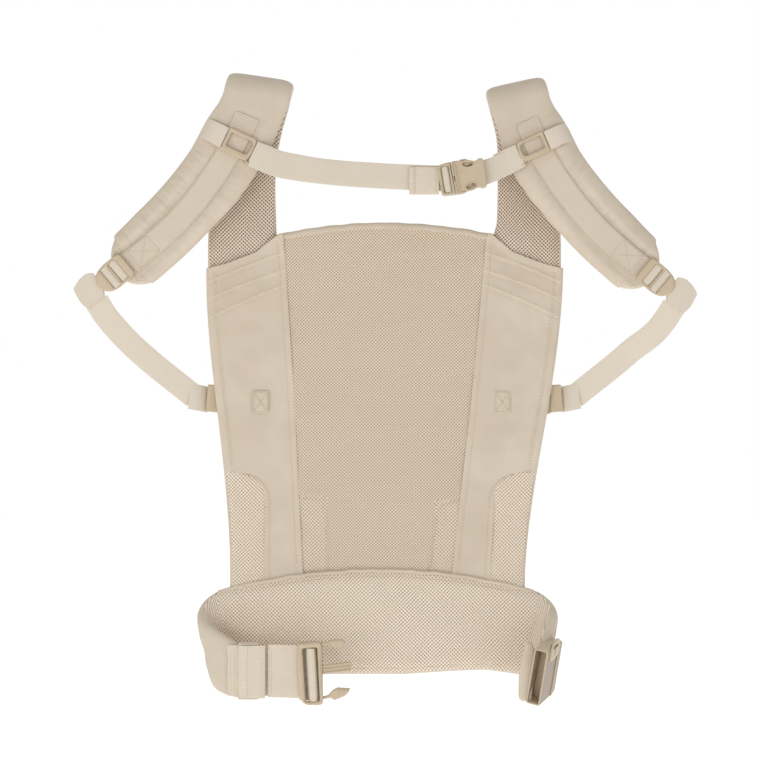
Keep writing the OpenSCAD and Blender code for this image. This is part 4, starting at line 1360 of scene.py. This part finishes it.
def waist_webbing():
    """The webbing on the left wing, its doubled tail and the elastic keeper."""
    line = lambda x, y: xyz(x, y, WAIST_WEB_Z + 0.6 * np.sin(x / 30))
    x = np.linspace(-155, -66, 90)
    y = -35 - 0.6 * hump(x + 150, 8)
    ob = ribbon("waist_webbing_run", line(x, y), UPRIGHT, 50, 1.4, WEBBING, strips=24)
    place(ob, "left_wing", "webbing", "waist_webbing_left")
    for k in (-154.5, -151.5, -148):
        sew("left_wing", ob, [[k, -70], [k, -24]], pitch=2.2, length=1.7, radius=0.22)
    x = np.linspace(-114.6, -83, 44)
    y = -37.3 - 2.0 * smooth((x + 96) / 12)
    tail = ribbon("waist_tail_doubled", line(x, y), UPRIGHT, 52, 1.5, WEBBING, strips=24)
    place(tail, "waist_plug", "webbing")
    for k in (-112.8, -111.2):
        sew("waist_plug", tail, [[k, -72], [k, -23.5]], pitch=1.9, length=1.5, radius=0.22)
    front, back = -40.2, -25.6
    path = [[-117.5, front + 0.2], [-126, front + 0.1], [-132, front - 0.5], [-140, front - 0.6],
            [-144.4, front + 2.6], [-145.2, front + 6]]
    p = curve(path, 40)
    centre = xyz(p[:, 0], p[:, 1], WAIST_WEB_Z - 0.4)
    fold = ribbon("keeper_front", centre, UPRIGHT, 52, 1.4, WEBBING, strips=24)
    place(fold, "left_wing", "webbing", "webbing_keeper")
    for k in (-134.6, -121.4, -118.6):
        ends = [[k, WAIST_WEB_Z + 24.6], [k, WAIST_WEB_Z - 25]]
        sew("left_wing", fold, ends, pitch=1.6, length=1.4, radius=0.24)
    path = [[front + 0.6, 27], [front + 2, 28], [-34, 28.2], [back - 1, 28], [back, 26.8]]
    for k, s in enumerate((1, -1), 1):
        q = curve([[y, WAIST_WEB_Z + s * z] for y, z in path], 20)
        centre = xyz(KEEPER_X, q[:, 0], q[:, 1])
        bridge = ribbon(f"keeper_side_{k}", centre, LEVEL, 20, 1.2, WEBBING, np.array([0, 0, s]), 8)
        place(bridge, "left_wing", "webbing")


SOCKET_SHIFT = np.array([-1.8, 0, 8.3])  # from the CAD's socket to the photograph's
SOCKET_MOUTH = unit(np.array([-0.375, -0.916, -0.144]))
SOCKET_OUTER = unit(np.array([0.916, -0.342, -0.211]))
# The socket's cross-sections from its closed end, round its mouth and down its cavity:
# distance past the mouth, how much less half thickness and half height, and the corners' radius
SOCKET_RINGS = [
    (-51, 2, 3, 2.5), (-49, 0.8, 1.6, 3), (-44, 0.3, 0.6, 3), (-30, 0, 0.4, 3), (-14, 0, 0, 3),
    (-4, 0, 0, 2.6), (-0.9, 0, 0, 2.4), (-0.2, 0.35, 0.35, 2.2), (0, 0.9, 0.9, 1.8), (-0.3, 1.5, 1.6, 1.4),
    (-1.5, 1.7, 2, 1.2), (-9, 1.8, 2.3, 1.2), (-19, 2, 2.8, 1.2),
]
# Outlines on its outer face: distance from the mouth, and height above its upper edge
SOCKET_EAR = [[8, -13], [9, 1], [13, 6.5], [21, 8.5], [31, 6], [36, 1], [36, -10], [22, -14]]
SOCKET_SLOT = [[13, 1.6], [13, -1], [19.3, -1.4], [20.6, -9], [22.6, -9], [22.6, -1.4], [29, -1], [29, 1.6]]
WING_ROLL = [[131.4, -42.5], [131, -60.2], [131.2, -67.2], [134, -70.6], [143.6, -70.6], [147.6, -20.9],
             [143.6, -12], [138.4, -11.5], [134.8, -25.8]]


def waist_socket():
    """Hollow socket on the right wing, seen past its mouth, and the wing's rolled edge beside it."""
    points = np.array([v.co for v in frame["nodes"]["waist_socket"].data.vertices]) / MM
    up = np.cross(SOCKET_OUTER, SOCKET_MOUTH)
    up = up * np.sign(up[2])
    axes = np.stack([SOCKET_MOUTH, SOCKET_OUTER, up])
    low, high = (f(points @ axes.T, axis=0) for f in (np.min, np.max))
    half_l, half_t, half_h = (high - low) / 2
    middle = (low + high) / 2 @ axes + SOCKET_SHIFT
    t, h = half_t - 0.4, min(half_h, 28.4)

    def ring(past, thinner, lower, r):
        a, b = t - thinner, h - lower
        loop = rounded_loop([[-a, -b], [a, -b], [a, b], [-a, b]], r, 9)
        return (middle + (half_l + past) * SOCKET_MOUTH) + loop[:, :1] * SOCKET_OUTER + loop[:, 1:] * up

    def face(p):
        p = np.asarray(p, float)
        across = p[..., 0:1] * -SOCKET_MOUTH + p[..., 1:2] * up
        return middle + half_l * SOCKET_MOUTH + across + (t + p[..., 2:3]) * SOCKET_OUTER

    body = loft("socket", [ring(*r) for r in SOCKET_RINGS], PLASTIC, sharp=35)
    # faces turned along SOCKET_OUTER take the darker copy: painted shade on the side turned from the light
    body.data.materials.append(PLASTIC_FACE_PAINTED_SHADE)
    for side in body.data.polygons:
        side.material_index = int(np.dot(side.normal, SOCKET_OUTER) > 0.9)
    ear, slot = (np.array(loop) + [0, h] for loop in (SOCKET_EAR, SOCKET_SLOT))
    parts = [
        body,
        plate("socket", [rounded_loop(ear, 6), slot], 0.2, 1.6, face, edge=0.6),
        # dark plate behind the slot: painted shadow
        plate("socket", [strip(11, h - 11, 31, h + 4, 2)], -1.2, 0.8, face, PLASTIC_SLOT_PAINTED_SHADOW, 0.3),
        plate("socket", [strip(33, -h + 2, 35, h - 12, 0.8)], 0.5, 1.2, face, edge=0.5),
    ]
    place(joined("waist_buckle_socket", parts), "right_wing", "plastic", "waist_socket")
    rolled = plate("wing_rolled_edge", [rounded_loop(WING_ROLL, 3)], 50, 7, at((0, 0, 0)), CANVAS, 3)
    place(rolled, "right_wing", "webbing")


def soften(node, width, material, segments=3, angle=35):
    """A CAD node that stays: rounded edges and its material."""
    ob = frame["nodes"][node]
    ob.data.materials.clear()
    ob.data.materials.append(material)
    b = ob.modifiers.new("edges", "BEVEL")
    b.width, b.segments, b.limit_method, b.angle_limit = width * MM, segments, "ANGLE", math.radians(angle)


def hardware():
    for n in ("side_socket_left", "side_socket_right", "chest_prong_upper", "chest_prong_lower"):
        soften(n, 0.6, PLASTIC)
    for side, sign in SIDES:
        for part in (side_webbing, side_buckle, slider, cross_band, ladder_lock):
            part(side, sign)
    chest_webbing()
    chest_buckle()
    waist_buckle()
    waist_webbing()
    waist_socket()


# ---------------------------------------------------------------- stage

AMBIENT = 0.6  # what the backdrop adds to the lamps' light
CAMERA_DISTANCE, VIEW_WIDTH, FILM_MM = 2.4, 0.76, 36
LIT_POINT = Vector((0, 0, 0.22))
FLOOR_HALF, FLOOR_Z = 9, -0.42


def studio():
    """Camera, lights, backdrop and pale floor."""
    scene = bpy.context.scene
    scene.view_settings.view_transform = "Standard"
    world = bpy.data.worlds.new("studio")
    scene.world = world
    world.use_nodes = True
    nt = world.node_tree
    nt.nodes["Background"].inputs[0].default_value = (1, 1, 1, 1)
    seen = add(nt, "LightPath").outputs["Is Camera Ray"]
    nt.links.new(calc(nt, "MULTIPLY_ADD", seen, 1 - AMBIENT, AMBIENT), nt.nodes["Background"].inputs[1])
    data = bpy.data.cameras.new("camera")
    data.lens = FILM_MM * CAMERA_DISTANCE / VIEW_WIDTH
    data.clip_end = 50
    camera = bpy.data.objects.new("camera", data)
    camera.location = (-0.0045, -CAMERA_DISTANCE, 0.244)
    camera.rotation_euler = (math.radians(90), 0, 0)
    scene.collection.objects.link(camera)
    scene.camera = camera
    for name, where, size, power in (
        ("key", (-1.3, -2.3, -0.1), 1.2, 14.5),
        ("fill", (1.7, -2.0, -0.3), 2.0, 5),
        ("back", (0.4, 2.2, 1.6), 2.0, 12),
    ):
        light = bpy.data.lights.new(name, "AREA")
        light.size, light.energy = size, power
        ob = bpy.data.objects.new(name, light)
        ob.location = where
        ob.rotation_euler = (LIT_POINT - Vector(where)).to_track_quat("-Z", "Y").to_euler()
        scene.collection.objects.link(ob)
    me = bpy.data.meshes.new("floor")
    corners = [(x * FLOOR_HALF, y * FLOOR_HALF, FLOOR_Z) for x, y in ((-1, -1), (1, -1), (1, 1), (-1, 1))]
    me.from_pydata(corners, [], [(0, 1, 2, 3)])
    floor = bpy.data.objects.new("floor", me)
    m, nt, shader = start("floor_white", 0.9, specular=0.0)
    shader.inputs["Base Color"].default_value = (0.5, 0.5, 0.5, 1)
    shader.inputs["Emission Color"].default_value = (1, 1, 1, 1)
    shader.inputs["Emission Strength"].default_value = 0.8
    me.materials.append(m)
    scene.collection.objects.link(floor)


def main():
    panel()
    belt()
    straps()
    hardware()
    finish_stitches()
    studio()


main()
